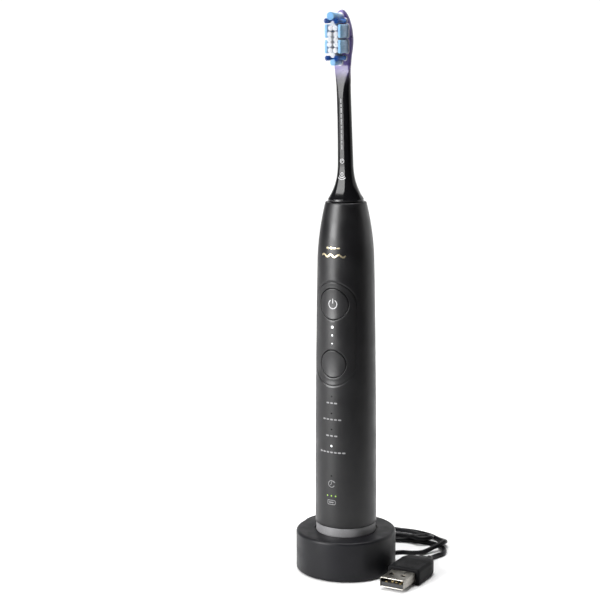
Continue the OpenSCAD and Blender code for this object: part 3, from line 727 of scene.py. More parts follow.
def pad_depth(x, z):
    """The keypad dips a little inside its outline, and rounds over at its edges."""
    inside = -outside_pad(x, z)
    depth = SET_BACK + 0.16 * smooth_step(0.2, 2.2, inside)
    depth += 0.18 * (1 - min(1, max(0, (inside - PAD_GAP) / 0.16))) ** 2
    for middle, r in ((POWER_Z, POWER_R), (MODE_Z, MODE_R)):
        away = math.hypot(x, z - middle) - r - HOLE
        depth += 0.22 * (1 - min(1, max(0, away / 0.22))) ** 2
    return depth


def make_pad():
    loops = [stadium(-d, 0.8) for d in (PAD_GAP, 0.09, 0.15, 0.22, 0.6, 1.2, 1.8, 2.4)]
    holes = []
    for middle, r in ((POWER_Z, POWER_R), (MODE_Z, MODE_R)):
        holes.append(circle(0, middle, r + HOLE, 96))
        loops += [circle(0, middle, r + HOLE + d, 96) for d in (0, 0.06, 0.13, 0.22)]
    spots = []
    for k in range(-12, 13):
        for j in range(0, 70):
            x, z = k * 0.8 + (j % 2) * 0.4, MODE_Z - PAD_R + j * 0.75
            away = min(math.hypot(x, z - POWER_Z) - POWER_R, math.hypot(x, z - MODE_Z) - MODE_R)
            if outside_pad(x, z) < -2.6 and away > 0.7:
                spots.append((x, z))

    def keep(x, z):
        if outside_pad(x, z) > -PAD_GAP:
            return False
        return all(math.hypot(x, z - m) > r + HOLE for m, r in ((POWER_Z, POWER_R), (MODE_Z, MODE_R)))

    made = patch(loops, spots, keep, pad_depth)
    walls = [wall(stadium(-PAD_GAP, 0.8), SET_BACK + 0.18, 1.15)]
    walls += [wall(hole, SET_BACK + 0.38, 1.15) for hole in holes]
    return piece("keypad_skin", "handle", pad_black, *joined(made, *walls), sharp=55,
                 slot="keypad_black", replaces=("keypad_pad",))


EDGE = 0.35
DISH = 0.26


def button_depth(x, z, middle, r):
    """A shallow dish with a rounded edge."""
    out = math.hypot(x, z - middle) / r
    edge = max(0, (out * r - (r - EDGE)) / EDGE)
    drop = 0.3 * (1 - math.sqrt(max(0, 1 - edge * edge)))
    return SET_BACK + 0.14 + DISH * (1 - min(1, out) ** 2) + drop


def make_button(name, node, body, middle, r):
    rings = [r * k / 18 for k in range(1, 17)]
    rings += [r - EDGE + EDGE * math.sin(math.pi / 12 * k) for k in range(0, 7)]
    sides = 112
    verts = [(0, front_y(0, middle, button_depth(0, middle, middle, r)), middle)]
    for ring in rings:
        for x, z in circle(0, middle, ring, sides):
            verts.append((x, front_y(x, z, button_depth(x, z, middle, r)), z))
    back = max(v[1] for v in verts) + 1.6
    verts += [(x, back, z) for x, z in circle(0, middle, r, sides)]
    verts.append((0, back, middle))
    faces = fan(0, 1, sides) + grid_faces(len(rings) + 1, sides, start=1)
    end = 1 + len(rings) * sides
    faces += [(len(verts) - 1, end + k, end + (k + 1) % sides) for k in range(sides)]
    return piece(name, body, button_black, verts, faces, sharp=50, slot="button_black",
                 replaces=(node,))


make_housing()
make_pad()
make_button("power_button_skin", "power_button", "power_button", POWER_Z, POWER_R)
make_button("mode_button_skin", "mode_button", "mode_button", MODE_Z, MODE_R)


# ---------- Printed marks: strokes laid just over a skin ----------

INK = 0.012


def arc(x, z, r, start, end, count=28):
    """Points on an arc. Bearings are degrees anticlockwise from +X, seen from the front."""
    return [(x + r * math.cos(math.radians(start + (end - start) * k / count)),
             z + r * math.sin(math.radians(start + (end - start) * k / count)))
            for k in range(count + 1)]


def stroke(line, width, skin):
    """A flat band along a line of (x, z) points, with round ends, on skin(x, z)."""
    points = [Vector(p) for p in line]
    verts, faces = [], []

    def put(p):
        verts.append((p.x, skin(p.x, p.y), p.y))
        return len(verts) - 1

    sides = []
    for i, p in enumerate(points):
        along = (points[min(i + 1, len(points) - 1)] - points[max(i - 1, 0)]).normalized()
        across = Vector((-along.y, along.x)) * width / 2
        sides.append((put(p + across), put(p), put(p - across)))
    for a, b in zip(sides, sides[1:]):
        faces += [(a[0], a[1], b[1], b[0]), (a[1], a[2], b[2], b[1])]
    for end, way in ((0, -1), (-1, 1)):
        along = (points[1] - points[0]) if end == 0 else (points[-1] - points[-2])
        base = math.atan2(along.y * way, along.x * way)
        rim = [put(points[end] + Vector((math.cos(base + t), math.sin(base + t))) * width / 2)
               for t in [math.pi * (k / 8 - 0.5) for k in range(9)]]
        faces += [(sides[end][1], a, b) for a, b in zip(rim, rim[1:])]
    return verts, faces


def straight(x0, z0, x1, z1, count=8):
    return [(x0 + (x1 - x0) * k / count, z0 + (z1 - z0) * k / count) for k in range(count + 1)]


def mark(name, body, material, strokes, skin):
    mesh = new_mesh(name, *joined(*[stroke(line, width, skin) for line, width in strokes]))
    mesh.materials.append(material)
    return settle(add_object(name, mesh), body)


def on_handle(x, z):
    return front_y(x, z, -INK)


def on_power(x, z):
    return front_y(x, z, button_depth(x, z, POWER_Z, POWER_R) - INK)


def dashes(z, width, count):
    """A row of short dashes with small gaps, as wide as stated."""
    pitch = width / count
    return [(straight(-width / 2 + pitch * (k + 0.3), z, -width / 2 + pitch * (k + 0.7), z, 3), 0.7)
            for k in range(count)]


def battery(z):
    """A battery's outline with a bar in it."""
    edges = [straight(-1.6, z + 1, 1.3, z + 1), arc(1.3, z + 0.3, 0.7, 90, 0, 8),
             straight(2.0, z + 0.3, 2.0, z - 0.3, 3), arc(1.3, z - 0.3, 0.7, 0, -90, 8),
             straight(1.3, z - 1, -1.6, z - 1), arc(-1.6, z - 0.7, 0.3, 270, 180, 5),
             straight(-1.9, z - 0.7, -1.9, z + 0.7, 5), arc(-1.6, z + 0.7, 0.3, 180, 90, 5)]
    return [(line, 0.3) for line in edges] + [(straight(-1.0, z, 0.9, z, 5), 0.55)]


# Each printed row's height, width and number of dashes, and the other signs' heights.
MODE_ROWS = ((82.3, 6, 3), (74.6, 9.8, 5), (66.9, 6.4, 3))
CHOSEN_ROW = (59.1, 13.4, 7)
TITLE_ROW = (153.6, 7.4, 4)
WAVE_Z, WAVE_W, WAVE_RISE, WAVES = 150.1, 11.6, 0.55, 3
CLOCK_Z = 44.1
BATTERY_Z = 35.3

mark("standby_mark", "power_button", ink,
     [(arc(0, POWER_Z, 2.05, 125, 415, 40), 0.38),
      (straight(0, POWER_Z + 0.5, 0, POWER_Z + 2.35), 0.38)], on_power)
clock = [(arc(0, CLOCK_Z, 1.55, 40, 330, 36), 0.32),
         (straight(1.1, CLOCK_Z + 1.4, 1.75, CLOCK_Z + 0.8, 3), 0.32),
         (straight(0, CLOCK_Z, 0, CLOCK_Z + 1, 4), 0.3),
         (straight(0, CLOCK_Z, -0.6, CLOCK_Z - 0.5, 3), 0.3)]
wave = [(WAVE_W * (k / 60 - 0.5), WAVE_Z + WAVE_RISE * math.sin(2 * math.pi * WAVES * k / 60))
        for k in range(61)]
for name, material, strokes in (
        ("mode_marks", label_ink, [line for row in MODE_ROWS for line in dashes(*row)]),
        ("chosen_mode_mark", label_ink, dashes(*CHOSEN_ROW)),
        ("reminder_mark", label_ink, clock),
        ("battery_mark", label_ink, battery(BATTERY_Z)),
        ("wave_mark", gold_ink, [(wave, 0.7), *dashes(*TITLE_ROW)])):
    mark(name, "handle", material, strokes, on_handle)


def dome(x, z, r, skin, rise=0.05):
    """A small round window that stands just proud of a skin."""
    verts = [(x, skin(x, z) - rise, z)]
    rings, sides = 4, 20
    for i in range(1, rings + 1):
        t = i / rings
        verts += [(px, skin(px, pz) - rise * (1 - t * t), pz) for px, pz in circle(x, z, r * t, sides)]
    return verts, fan(0, 1, sides) + grid_faces(rings, sides, start=1)


def on_pad(x, z):
    return front_y(x, z, pad_depth(x, z))


# The windows' heights above the seat, as in the CAD part, and the battery lights' spacing.
UNLIT_S, CHOSEN_S, BATTERY_S = (67, 59.1, 51.5, 29.5), 43.7, 20
LEVEL_S = (91.5, 95.3, 99.1)
BATTERY_PITCH = 2.1
WINDOW_R = 0.42


def make_lights():
    """Windows in one piece: dark ones, lit white ones, softer ones and green ones."""
    small, middle, big = [dome(0, SEAT + s, r, on_pad) for s, r in zip(LEVEL_S, (0.36, 0.48, 0.6))]
    groups = [
        (lens_dark, [dome(0, SEAT + s, WINDOW_R, front_y) for s in UNLIT_S]),
        (lens_white, [dome(0, SEAT + CHOSEN_S, WINDOW_R, front_y), big]),
        (lens_soft, [middle, small]),
        (lens_green, [dome(BATTERY_PITCH * k, SEAT + BATTERY_S, 0.34, front_y) for k in (-1, 0, 1)])]
    verts, faces, owners = [], [], []
    for i, (_, domes) in enumerate(groups):
        more, loops = joined(*domes)
        start = len(verts)
        verts += more
        faces += [tuple(start + k for k in loop) for loop in loops]
        owners += [i] * len(loops)
    mesh = new_mesh("light_windows", verts, faces)
    for material, _ in groups:
        mesh.materials.append(material)
    for face, owner in zip(mesh.polygons, owners):
        face.material_index = owner
        face.use_smooth = True
    settle(add_object("light_windows", mesh), "handle", ("indicator_lights",))


make_lights()


# ---------- Brush head ----------

BASE_Z = base_low.z
NECK_TOP = plate_low.z
NECK_LEN = NECK_TOP - BASE_Z
# The neck's radius, how far it leans forward, and the lengths that widen at its foot and top.
NECK_R = 3.25
LEAN = 2.9
FOOT_FLARE, TOP_FLARE = 17, 12
# The neck's shell starts this far above the foot ring's underside.
FOOT_GAP = 0.9
FACE_Y = tuft_high.y
HEAD_TOP = plate_high.z
HEAD_H = HEAD_TOP - NECK_TOP
HEAD_W = plate_high.x


def neck_stem(s):
    slim = 0.75 * max(0, 1 - s / (NECK_LEN - TOP_FLARE)) ** 2
    return NECK_R + slim + 4.8 * max(0, 1 - s / FOOT_FLARE) ** 2.4


def neck_sizes(s):
    """At a height on the neck: its half width and depth, its middle and its flat's half width."""
    wide = max(0, (s - NECK_LEN + TOP_FLARE) / TOP_FLARE) ** 1.5
    half, deep = neck_stem(s) + 0.85 * wide, neck_stem(s) - 0.85 * wide
    middle = -LEAN * (s / NECK_LEN) ** 1.7
    flat = 1.15 + 1.65 * max(0, 1 - s / 19) ** 1.3 + 2.6 * max(0, (s - NECK_LEN + 14.6) / 13) ** 1.6
    return half, deep, middle, min(flat, half * 0.9)


def on_neck(x, z):
    half, deep, middle, flat = neck_sizes(z - BASE_Z)
    return middle - deep * math.sqrt(1 - (max(flat, abs(x)) / half) ** 2) - INK


def neck_section(s, count=72):
    """One ring of the neck: an ellipse with its front cut flat, wider at both ends."""
    half, deep, middle, flat = neck_sizes(s)
    cut = math.asin(flat / half)
    ring = []
    across = 8
    for k in range(across):
        x = flat * (2 * k / across - 1)
        dip = 0.16 * (1 - (x / flat) ** 2) * smooth_step(NECK_LEN - 10, NECK_LEN - 4, s)
        ring.append((x, middle - deep * math.cos(cut) + dip, BASE_Z + s))
    for k in range(count - across):
        a = cut + (2 * math.pi - 2 * cut) * k / (count - across)
        ring.append((half * math.sin(a), middle - deep * math.cos(a), BASE_Z + s))
    return ring


def make_neck():
    stations = [FOOT_GAP + (NECK_LEN - FOOT_GAP) * k / 84 for k in range(85)]
    rings = [neck_section(s) for s in stations]
    inside = []
    for r, z in ((8.0, BASE_Z + FOOT_GAP), (8.0, BASE_Z + 0.3), (3.05, BASE_Z + 5.2), (3.05, BASE_Z + 8)):
        inside.append([(r * x / max(1e-6, math.hypot(x, y)), r * y / max(1e-6, math.hypot(x, y)), z)
                       for x, y, _ in rings[0]])
    rings = inside[::-1] + rings
    verts = [v for ring in rings for v in ring]
    obj = piece("neck_shell", "brush_head", neck_black, verts, grid_faces(len(rings), len(rings[0])),
                sharp=60, slot="neck_gloss_black", replaces=("brush_neck",))
    mesh = obj.data
    limit = math.radians(6)
    work = bmesh.new()
    work.from_mesh(mesh)
    for edge in work.edges:
        a, b = edge.verts[0].co, edge.verts[1].co
        upright = abs(a.z - b.z) > 0.8 * (a - b).length
        if upright and min(a.z, b.z) > (BASE_Z + FOOT_GAP) * MM and len(edge.link_faces) == 2:
            facing = [abs(face.normal.x) < 0.03 and face.normal.y < 0 for face in edge.link_faces]
            if edge.calc_face_angle(0) > limit and any(facing):
                edge.smooth = False
    work.to_mesh(mesh)
    work.free()
    mesh.materials.append(head_violet)
    for face in mesh.polygons:
        if face.center.z > VIOLET_Z:
            face.material_index = 1
    return obj


make_neck()
# The heights of the neck's two signs, and each printed run's height and length.
RING_SIGN_Z, SIGNAL_SIGN_Z = 192, 186.2
NECK_RUNS = ((197.6, 1.6), (200.2, 0.7), (201.9, 1.9), (204.8, 1.1), (206.9, 0.7), (208.6, 2.1),
             (211.7, 1.2), (213.9, 1.7), (216.6, 0.7), (218.3, 1.4))

mark("neck_mark", "brush_head", ink,
     [(arc(0, RING_SIGN_Z, 0.95, 0, 360, 36), 0.26), (arc(0, RING_SIGN_Z, 0.4, 30, 250, 14), 0.2),
      (arc(0, SIGNAL_SIGN_Z, 0.62, 0, 360, 30), 0.3), (arc(0, SIGNAL_SIGN_Z, 1.55, 215, 325, 16), 0.3),
      (arc(0, SIGNAL_SIGN_Z, 2.45, 222, 318, 20), 0.34)], on_neck)
mark("neck_print", "brush_head", label_ink,
     [(straight(0, z, 0, z + run, 4), 0.62) for z, run in NECK_RUNS], on_neck)

ring_r = base_high.x
ring_edge = fillet([(ring_r - 1.1, base_high.z, 0), (ring_r - 1.1, BASE_Z, 0.1), (ring_r, BASE_Z, 0.25),
                    (ring_r, base_high.z, 0.3), (ring_r - 1.1, base_high.z, 0)], 5)
piece("neck_foot_ring", "brush_head", ring_black, *spun(ring_edge, 160), sharp=50,
      slot="neck_gloss_black", replaces=("neck_base_ring",))


# The height of the head's widest ring, its half width at the neck and its face's rounded edge.
WIDEST = 10.8
HEAD_FOOT_W = 4.1
FACE_ROUND = 0.35


def head_half(s):
    if s < WIDEST:
        return HEAD_FOOT_W + (HEAD_W - HEAD_FOOT_W) * (1 - math.cos(math.pi * s / WIDEST)) / 2
    fade = (s - WIDEST) / (HEAD_H - WIDEST)
    return HEAD_W * max(0, 1 - fade ** 1.75) ** (1 / 1.75)


def signed_power(x, e):
    return math.copysign(abs(x) ** e, x)


def head_ring(s, count=96):
    fade = max(0, (s - WIDEST) / (HEAD_H - WIDEST))
    half, deep = head_half(s), 5.2 * max(0, 1 - fade ** 4) ** 0.4 / 2
    k = min(1, s / 7)
    middle = (1 - k) * -LEAN + k * (FACE_Y + 1.6)
    e = 1 - 0.3 * k
    thick = (1 - k) * 2.4 + k * deep
    ring = []
    for i in range(count):
        a = 2 * math.pi * i / count
        x, y = half * signed_power(math.cos(a), e), middle + thick * signed_power(math.sin(a), e)
        over = FACE_Y - y
        if over > -FACE_ROUND:
            y = FACE_Y + min(0, over) ** 2 / (2 * FACE_ROUND)
        ring.append((x, y, NECK_TOP + s))
    return ring


def make_head():
    stations = [0.01 + (HEAD_H - 0.02) * math.sin(math.pi / 2 * k / 70) for k in range(71)]
    rings = [head_ring(s) for s in stations]
    verts = [v for ring in rings for v in ring]
    verts.append((0, sum(v[1] for v in rings[-1]) / len(rings[-1]), rings[-1][0][2]))
    faces = grid_faces(len(rings), len(rings[0]))
    count = len(rings[0])
    last = (len(rings) - 1) * count
    faces += [(last + k, last + (k + 1) % count, len(verts) - 1) for k in range(count)]
    return piece("head_shell", "brush_head", head_violet, verts, faces, sharp=60,
                 slot="platen_violet", replaces=("head_platen",))


make_head()


# ---------- Bristles ----------

SHORT_TIP = tuft_low.y
LONG_TIP = low_high("tufts_dark_blue")[0].y


def filament(x, z, tip, lean, r, verts, faces, up):
    """One filament from just inside the head's face to its rounded tip."""
    sides = 6
    start = FACE_Y + 0.25
    stations = [(start, 1), ((start + tip) / 2, 1), (tip + r * 1.3, 1), (tip + r * 0.4, 0.75)]
    base = len(verts)
    for y, k in stations:
        t = (y - start) / (tip - start)
        cx, cz = x + lean[0] * t * t, z + lean[1] * t * t + up * t
        for i in range(sides):
            a = 2 * math.pi * i / sides
            verts.append((cx + r * k * math.cos(a), y, cz + r * k * math.sin(a)))
    faces += grid_faces(len(stations), sides, start=base)
    verts.append((x + lean[0], tip, z + lean[1] + up))
    end = base + (len(stations) - 1) * sides
    faces += [(end + i, end + (i + 1) % sides, len(verts) - 1) for i in range(sides)]


def packed(half_w, half_h, pitch=0.2):
    """Spots packed in an upright bar with round ends, or in a disc where both halves are equal."""
    made = []
    for j in range(-int(half_h / pitch / 0.8) - 2, int(half_h / pitch / 0.8) + 3):
        for k in range(-int(half_w / pitch) - 2, int(half_w / pitch) + 3):
            x, z = (k + (j % 2) / 2) * pitch, j * pitch * 0.866
            end = max(0, abs(z) - (half_h - half_w))
            if math.hypot(x, end) <= half_w:
                made.append((x, z))
    return made


def tufts(name, node, material, groups, slot):
    """groups: (x, z, tip, spots, flare, up). Each spot is one filament, splayed by flare."""
    verts, faces = [], []
    for x, z, tip, spots, flare, up in groups:
        reach = max(math.hypot(a, b) for a, b in spots) or 1
        for a, b in spots:
            jitter = [random.uniform(-0.03, 0.03) for _ in range(4)]
            round_off = 0.16 * (math.hypot(a, b) / reach) ** 2
            filament(x + a + jitter[0], z + b + jitter[1], tip + round_off + random.uniform(0, 0.1),
                     (a * flare + jitter[2], b * flare + jitter[3]), 0.115, verts, faces, up)
    return piece(name, "brush_head", material, verts, faces, slot=slot, replaces=(node,))


white = bristle("bristle_white", (0.5, 0.54, 0.64), (0.8, 0.82, 0.86), FACE_Y * MM, SHORT_TIP * MM)
dark = bristle("bristle_dark_blue", (0.07, 0.31, 0.88), (0.004, 0.08, 0.34), FACE_Y * MM,
               LONG_TIP * MM)
light = bristle("bristle_light_blue", (0.6, 0.76, 0.98), (0.33, 0.6, 0.88), FACE_Y * MM, SHORT_TIP * MM)

small = packed(0.92, 0.92)
white_spots = [(0, 4.7), (0, 18.5)]
for x, z in ((1.3, 6.8), (1.65, 9.3), (1.65, 11.5), (1.65, 13.8), (1.2, 16.5)):
    white_spots += [(-x, z), (x, z)]
tufts("tufts_white_filaments", "tufts_white", white,
      [(x, NECK_TOP + z, SHORT_TIP + 0.02, small, 0.24, 0) for x, z in white_spots], "bristle_white")
dark_spots = [(-2.25, 3.4), (2.25, 3.4), (-2.35, 19.6), (2.35, 19.6)]
slim = packed(0.8, 0.8)
tufts("tufts_dark_filaments", "tufts_dark_blue", dark,
      [(x, NECK_TOP + z, LONG_TIP + (0 if z > 10 else 0.6), slim, 0.45, 0) for x, z in dark_spots],
      "bristle_dark_blue")
bar = packed(0.6, 2.9)
light_groups = [(side * 3.35, NECK_TOP + z, SHORT_TIP + 0.05, bar, 0.03, 0)
                for side in (-1, 1) for z in (8.4, 15.15)]
LOW_TUFT, TOP_TUFT = 1.6, 21.5
light_groups += [(0, NECK_TOP + LOW_TUFT, SHORT_TIP + 0.1, packed(1.2, 1.2), 0.2, -0.1),
                 (0, NECK_TOP + TOP_TUFT, LONG_TIP - 0.7, packed(1.25, 1.25), 0.4, 0.2)]
tufts("tufts_light_filaments", "tufts_light_blue", light, light_groups, "bristle_light_blue")


def bead_loop(line, r, sides=8):
    """A closed round bead along a loop of (x, z) points on the head's face."""
    points = [Vector((x, FACE_Y - r * 0.45, z)) for x, z in line]
    count = len(points)
    verts = []
    for i, p in enumerate(points):
        along = (points[(i + 1) % count] - points[i - 1]).normalized()
        across = along.cross(Vector((0, 1, 0))).normalized()
        for k in range(sides):
            a = 2 * math.pi * k / sides
            verts.append(tuple(p + across * r * math.cos(a) + Vector((0, 1, 0)) * r * math.sin(a)))
    return verts, [tuple(i % len(verts) for i in face) for face in grid_faces(count + 1, sides)]


def bar_line(x, z, half_w, half_h, count=16):
    """The outline of an upright bar with round ends."""
    turns = [(half_w * math.cos(math.pi * k / count), half_w * math.sin(math.pi * k / count))
             for k in range(count + 1)]
    top = [(x + a, z + half_h - half_w + b) for a, b in turns]
    low = [(x - a, z - half_h + half_w - b) for a, b in turns]
    return top + low


beads = [bead_loop(circle(x, NECK_TOP + z, 1.1, 36), 0.32) for x, z in dark_spots]
beads += [bead_loop(circle(0, NECK_TOP + TOP_TUFT, 1.46, 36), 0.32),
          bead_loop(circle(0, NECK_TOP + LOW_TUFT, 1.4, 36), 0.3)]
beads += [bead_loop(bar_line(x * 1.03, z, 0.92, 3.1), 0.28) for x, z, *_ in light_groups[:4]]
piece("tuft_collars_rims", "brush_head", collar_white, *joined(*beads), slot="bristle_white",
      replaces=("tuft_collars",))


# ---------- USB plug ----------

grip_low, grip_high = low_high("usb_plug_grip")
shell_low, shell_high = low_high("usb_plug_shell")
relief_low, relief_high = low_high("usb_plug_strain_relief")
PLUG_X = (grip_low.x + grip_high.x) / 2
PLUG_Z = (grip_low.z + grip_high.z) / 2
GRIP_W, GRIP_T = (grip_high.x - grip_low.x) / 2, (grip_high.z - grip_low.z) / 2


def box_ring(y, half_w, half_t, corner, count=10):
    """A rectangle with round corners, across the plug's axis."""
    ring = []
    for cx, cz, start in ((1, 1, 0), (-1, 1, 90), (-1, -1, 180), (1, -1, 270)):
        for k in range(count + 1):
            a = math.radians(start + 90 * k / count)
            ring.append((PLUG_X + cx * (half_w - corner) + corner * math.cos(a), y,
                         PLUG_Z + cz * (half_t - corner) + corner * math.sin(a)))
    return ring


def make_grip():
    front, back = grip_low.y, grip_high.y
    edge, corner, taper = 0.7, 1.5, 7.5
    rings = [box_ring(front + y, 6.05, 2.3, 0.6) for y in (2.5, 0.05)]
    for k in range(7):
        t = math.pi / 2 * k / 6
        inset = edge * (1 - math.sin(t))
        rings.append(box_ring(front + edge * (1 - math.cos(t)), GRIP_W - inset, GRIP_T - inset,
                              corner - inset * 0.5))
    straight_end = back - taper
    rings += [box_ring(front + edge + (straight_end - front - edge) * k / 8, GRIP_W, GRIP_T, corner)
              for k in range(1, 9)]
    for k in range(1, 25):
        t = k / 24
        y = straight_end + taper * t
        close = 1 - math.sqrt(max(0, 1 - t ** 3.2))
        rings.append(box_ring(y, GRIP_W - 4.2 * close ** 0.9 - 0.8 * t, GRIP_T - 1.3 * close - 0.25 * t,
                              corner + 0.55 * t - 0.4 * close))
    rings.append(box_ring(back, 1.6, 1.4, 0.8))
    verts = [v for ring in rings for v in ring]
    return piece("plug_grip_skin", "charger", plug_black, verts, grid_faces(len(rings), len(rings[0])),
                 sharp=35, slot="plug_plastic", replaces=("usb_plug_grip",))


def make_shell():
    """A folded sheet tube with four latch windows."""
    w, t = (shell_high.x - shell_low.x) / 2, (shell_high.z - shell_low.z) / 2
    sheet = 0.3
    tip, end = shell_low.y, grip_low.y + 2
    gate_y = (tip + 5, tip + 7.2)
    gates = [(-3.9, -1.7), (1.7, 3.9)]
    breaks = sorted([-w + 0.7, *[x for g in gates for x in g], w - 0.7])

    def outline(half_w, half_t, corner):
        def bend(sx, sz, start):
            return [(sx * (half_w - corner) + corner * math.cos(math.radians(start + 15 * k)),
                     sz * (half_t - corner) + corner * math.sin(math.radians(start + 15 * k)))
                    for k in range(1, 6)]

        side = half_t - corner
        return [*[(x, half_t) for x in reversed(breaks)], *bend(-1, 1, 90), (-half_w, side),
                (-half_w, -side), *bend(-1, -1, 180), *[(x, -half_t) for x in breaks],
                *bend(1, -1, 270), (half_w, -side), (half_w, side), *bend(1, 1, 0)]

    outer, inner = outline(w, t, 0.7), outline(w - sheet, t - sheet, 0.45)
    count = len(outer)
    levels = [tip + 0.08, tip + 0.5, gate_y[0], gate_y[1], end]
    verts = [(PLUG_X + x, y, PLUG_Z + z) for line in (outer, inner) for y in levels for x, z in line]
    lip = len(verts)
    verts += [(PLUG_X + (a[0] + b[0]) / 2, tip, PLUG_Z + (a[1] + b[1]) / 2)
              for a, b in zip(outer, inner)]
    faces = []

    def open_here(i, k):
        n = (k + 1) % count
        if i != 2 or abs(outer[k][1] - outer[n][1]) > 1e-6 or abs(abs(outer[k][1]) - t) > 1e-6:
            return False
        middle = (outer[k][0] + outer[n][0]) / 2
        return any(a < middle < b for a, b in gates)

    layer = len(levels) * count
    for i in range(len(levels) - 1):
        for k in range(count):
            n = (k + 1) % count
            a, b = i * count, (i + 1) * count
            if open_here(i, k):
                for p, q in ((a + k, a + n), (b + n, b + k), (a + n, b + n), (b + k, a + k)):
                    faces.append((p, q, q + layer, p + layer))
                continue
            faces.append((a + k, a + n, b + n, b + k))
            faces.append((layer + a + k, layer + b + k, layer + b + n, layer + a + n))
    for k in range(count):
        n = (k + 1) % count
        faces.append((k, lip + k, lip + n, n))
        faces.append((layer + k, layer + n, lip + n, lip + k))
    return piece("plug_shell_skin", "charger", nickel, verts, faces, sharp=35, slot="nickel_shell",
                 replaces=("usb_plug_shell",))


def make_relief():
    """A short ribbed sleeve round the cord where it meets the grip."""
    low, high = relief_low.y, relief_high.y
    profile = [(2.8, low - 0.3)]
    for k in range(4):
        t = k / 4
        y, r = low + (high - low) * t, 2.8 - 1.2 * t
        profile += [(r, y + 0.1), (r - 0.06, y + 0.55), (r - 0.42, y + 0.62), (r - 0.46, y + 0.92)]
    profile += [(1.5, high - 0.12), (1.38, high), (1.05, high)]
    part = spun(profile, 48)
    turn = Matrix.Translation(Vector((PLUG_X, 0, PLUG_Z))) @ Matrix.Rotation(math.radians(-90), 4, "X")
    return piece("plug_relief_skin", "charger", plug_black, *moved(part, turn), sharp=35,
                 slot="plug_plastic", replaces=("usb_plug_strain_relief",))


grip, shell, relief = make_grip(), make_shell(), make_relief()


# ---------- The pieces kept from the CAD part ----------

KEPT = {
    "charger_base_plate": puck_black, "charger_foot_ring": rubber, "charger_ferrite_core": ferrite,
    "charger_coil_bobbin": ivory, "charger_primary_coil": copper, "charger_circuit_board": pcb,
    "charger_board_parts": dark_part, "charger_cord_grommet": rubber, "usb_plug_tongue": dark_part,
    "usb_plug_contacts": gold, "end_cap_seal": red_rubber, "handle_charging_coil": copper,
    "battery_cell": wrap, "battery_tabs": nickel, "inner_tray": ivory, "control_board": pcb,
    "control_board_parts": dark_part, "power_switch": dark_part, "mode_switch": dark_part,
    "drive_frame": steel, "lower_bush": brass, "upper_bush": brass, "stator_core": stack,
    "stator_coils": copper, "shaft_seal": rubber, "spring_anchor": steel, "power_plunger": red_rubber,
    "mode_plunger": red_rubber, "drive_shaft": polished, "rotor_hub": stack, "rotor_magnets": steel,
    "torsion_bar": steel, "shaft_socket": ivory, "head_tag_ring": gold}
EDGE_BEVEL = 0.08 * MM
for name, material in KEPT.items():
    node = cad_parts[name]
    node.data.materials.clear()
    node.data.materials.append(material)
    edges = node.modifiers.new("edges", "BEVEL")
    edges.width = EDGE_BEVEL
    edges.segments = 2
    edges.limit_method = "ANGLE"
    edges.angle_limit = math.radians(40)


# ---------- Studio ----------


# The sweep's half width, near end, bend, far wall and top, in metres.
FLOOR_HALF, FLOOR_NEAR, BEND_AT, BEND_R, WALL_TOP = 2.4, -2.2, 1.1, 0.6, 2.6


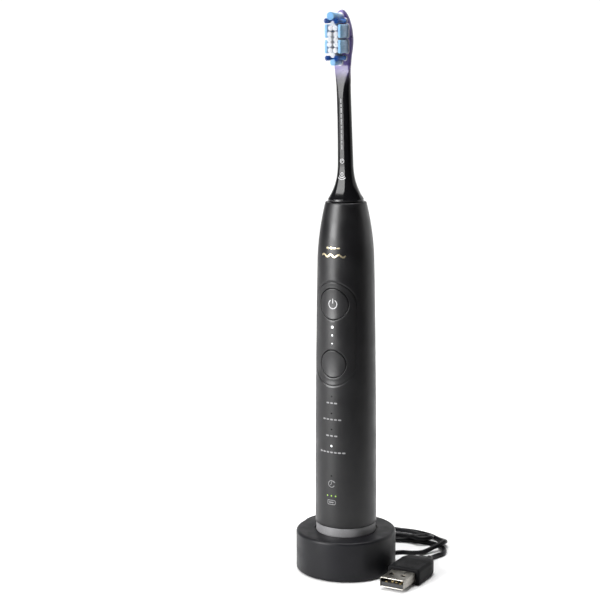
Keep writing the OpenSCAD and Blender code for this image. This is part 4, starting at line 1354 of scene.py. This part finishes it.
def make_floor():
    """A sweep of pale paper with painted shade that greys it on the near right and up its back wall."""
    turns = [math.pi / 2 * k / 16 for k in range(1, 17)]
    line = [(FLOOR_NEAR, 0), (BEND_AT, 0)]
    line += [(BEND_AT + BEND_R * math.sin(a), BEND_R - BEND_R * math.cos(a)) for a in turns]
    line.append((BEND_AT + BEND_R, WALL_TOP))
    verts, faces = [], []
    for away, z in line:
        for side in (-FLOOR_HALF, FLOOR_HALF):
            verts.append(tuple(ACROSS * side + AWAY * away + UP * z))
    for i in range(len(line) - 1):
        faces.append((2 * i, 2 * i + 1, 2 * i + 3, 2 * i + 2))
    mesh = bpy.data.meshes.new("floor")
    mesh.from_pydata(verts, [], faces)
    for face in mesh.polygons:
        face.use_smooth = True
    n = Nodes("floor_paper")
    # Painted shade: the paper turns grey towards the near right and up the wall, so the object reflects
    # less light from there.
    ahead = n.node("ShaderNodeVectorMath", operation="DOT_PRODUCT")
    n.link(n.place, ahead.inputs[0])
    ahead.inputs[1].default_value = ACROSS * 0.5 - AWAY * 0.87
    near = n.spread(ahead.outputs["Value"], 0, 1, at=(0.05, 0.28))
    painted_shade = n.maths("MAXIMUM", near, n.spread(n.axis("Z"), 0, 0.8, at=(0.3, 0.9)))
    pale = n.blend(n.spread(n.noise(3, 3), 0, 1), (0.78, 0.78, 0.78), (0.8, 0.8, 0.8))
    n.colour(n.blend(painted_shade, pale, (0.24, 0.24, 0.24)))
    n.rough(n.spread(n.noise(60, 3), 0.85, 0.95))
    n.set(Specular_IOR_Level=0.1)
    mesh.materials.append(n.material)
    add_object("floor", mesh)


def softbox(name, bearing, distance, height, size, power, aim=(0, 0.12), spread=180):
    """A lamp at a bearing round the object, in degrees anticlockwise from the near side."""
    a = math.radians(bearing)
    way = -AWAY * math.cos(a) + ACROSS * math.sin(a)
    place = way * distance + UP * height
    data = bpy.data.lights.new(name, "AREA")
    data.shape = "RECTANGLE"
    data.size, data.size_y = size
    data.energy = power
    data.spread = math.radians(spread)
    obj = add_object(name, data)
    look = AWAY * aim[0] + UP * aim[1] - place
    obj.matrix_world = Matrix.Translation(place) @ look.to_track_quat("-Z", "Y").to_matrix().to_4x4()


make_floor()
softbox("key", -58, 1.3, 0.47, (0.62, 1.3), 44)
softbox("side", 104, 1.2, 0.32, (0.8, 0.64), 2.0)
softbox("fill", 138, 1.5, 0.45, (0.7, 1.4), 3.5)
softbox("top", 180, 0.12, 0.95, (0.7, 0.7), 3.0, aim=(0.12, 0), spread=80)
softbox("back", 180, 0.9, 1.2, (2.4, 0.8), 10.5, aim=(1.25, 0), spread=110)

world = bpy.data.worlds.new("world")
world.use_nodes = True
world.node_tree.nodes["Background"].inputs["Color"].default_value = (1, 1, 1, 1)
world.node_tree.nodes["Background"].inputs["Strength"].default_value = 0.06
bpy.context.scene.world = world
bpy.context.scene.view_settings.view_transform = "Standard"
bpy.context.scene.view_settings.look = "None"
bpy.context.scene.view_settings.exposure = 0.0
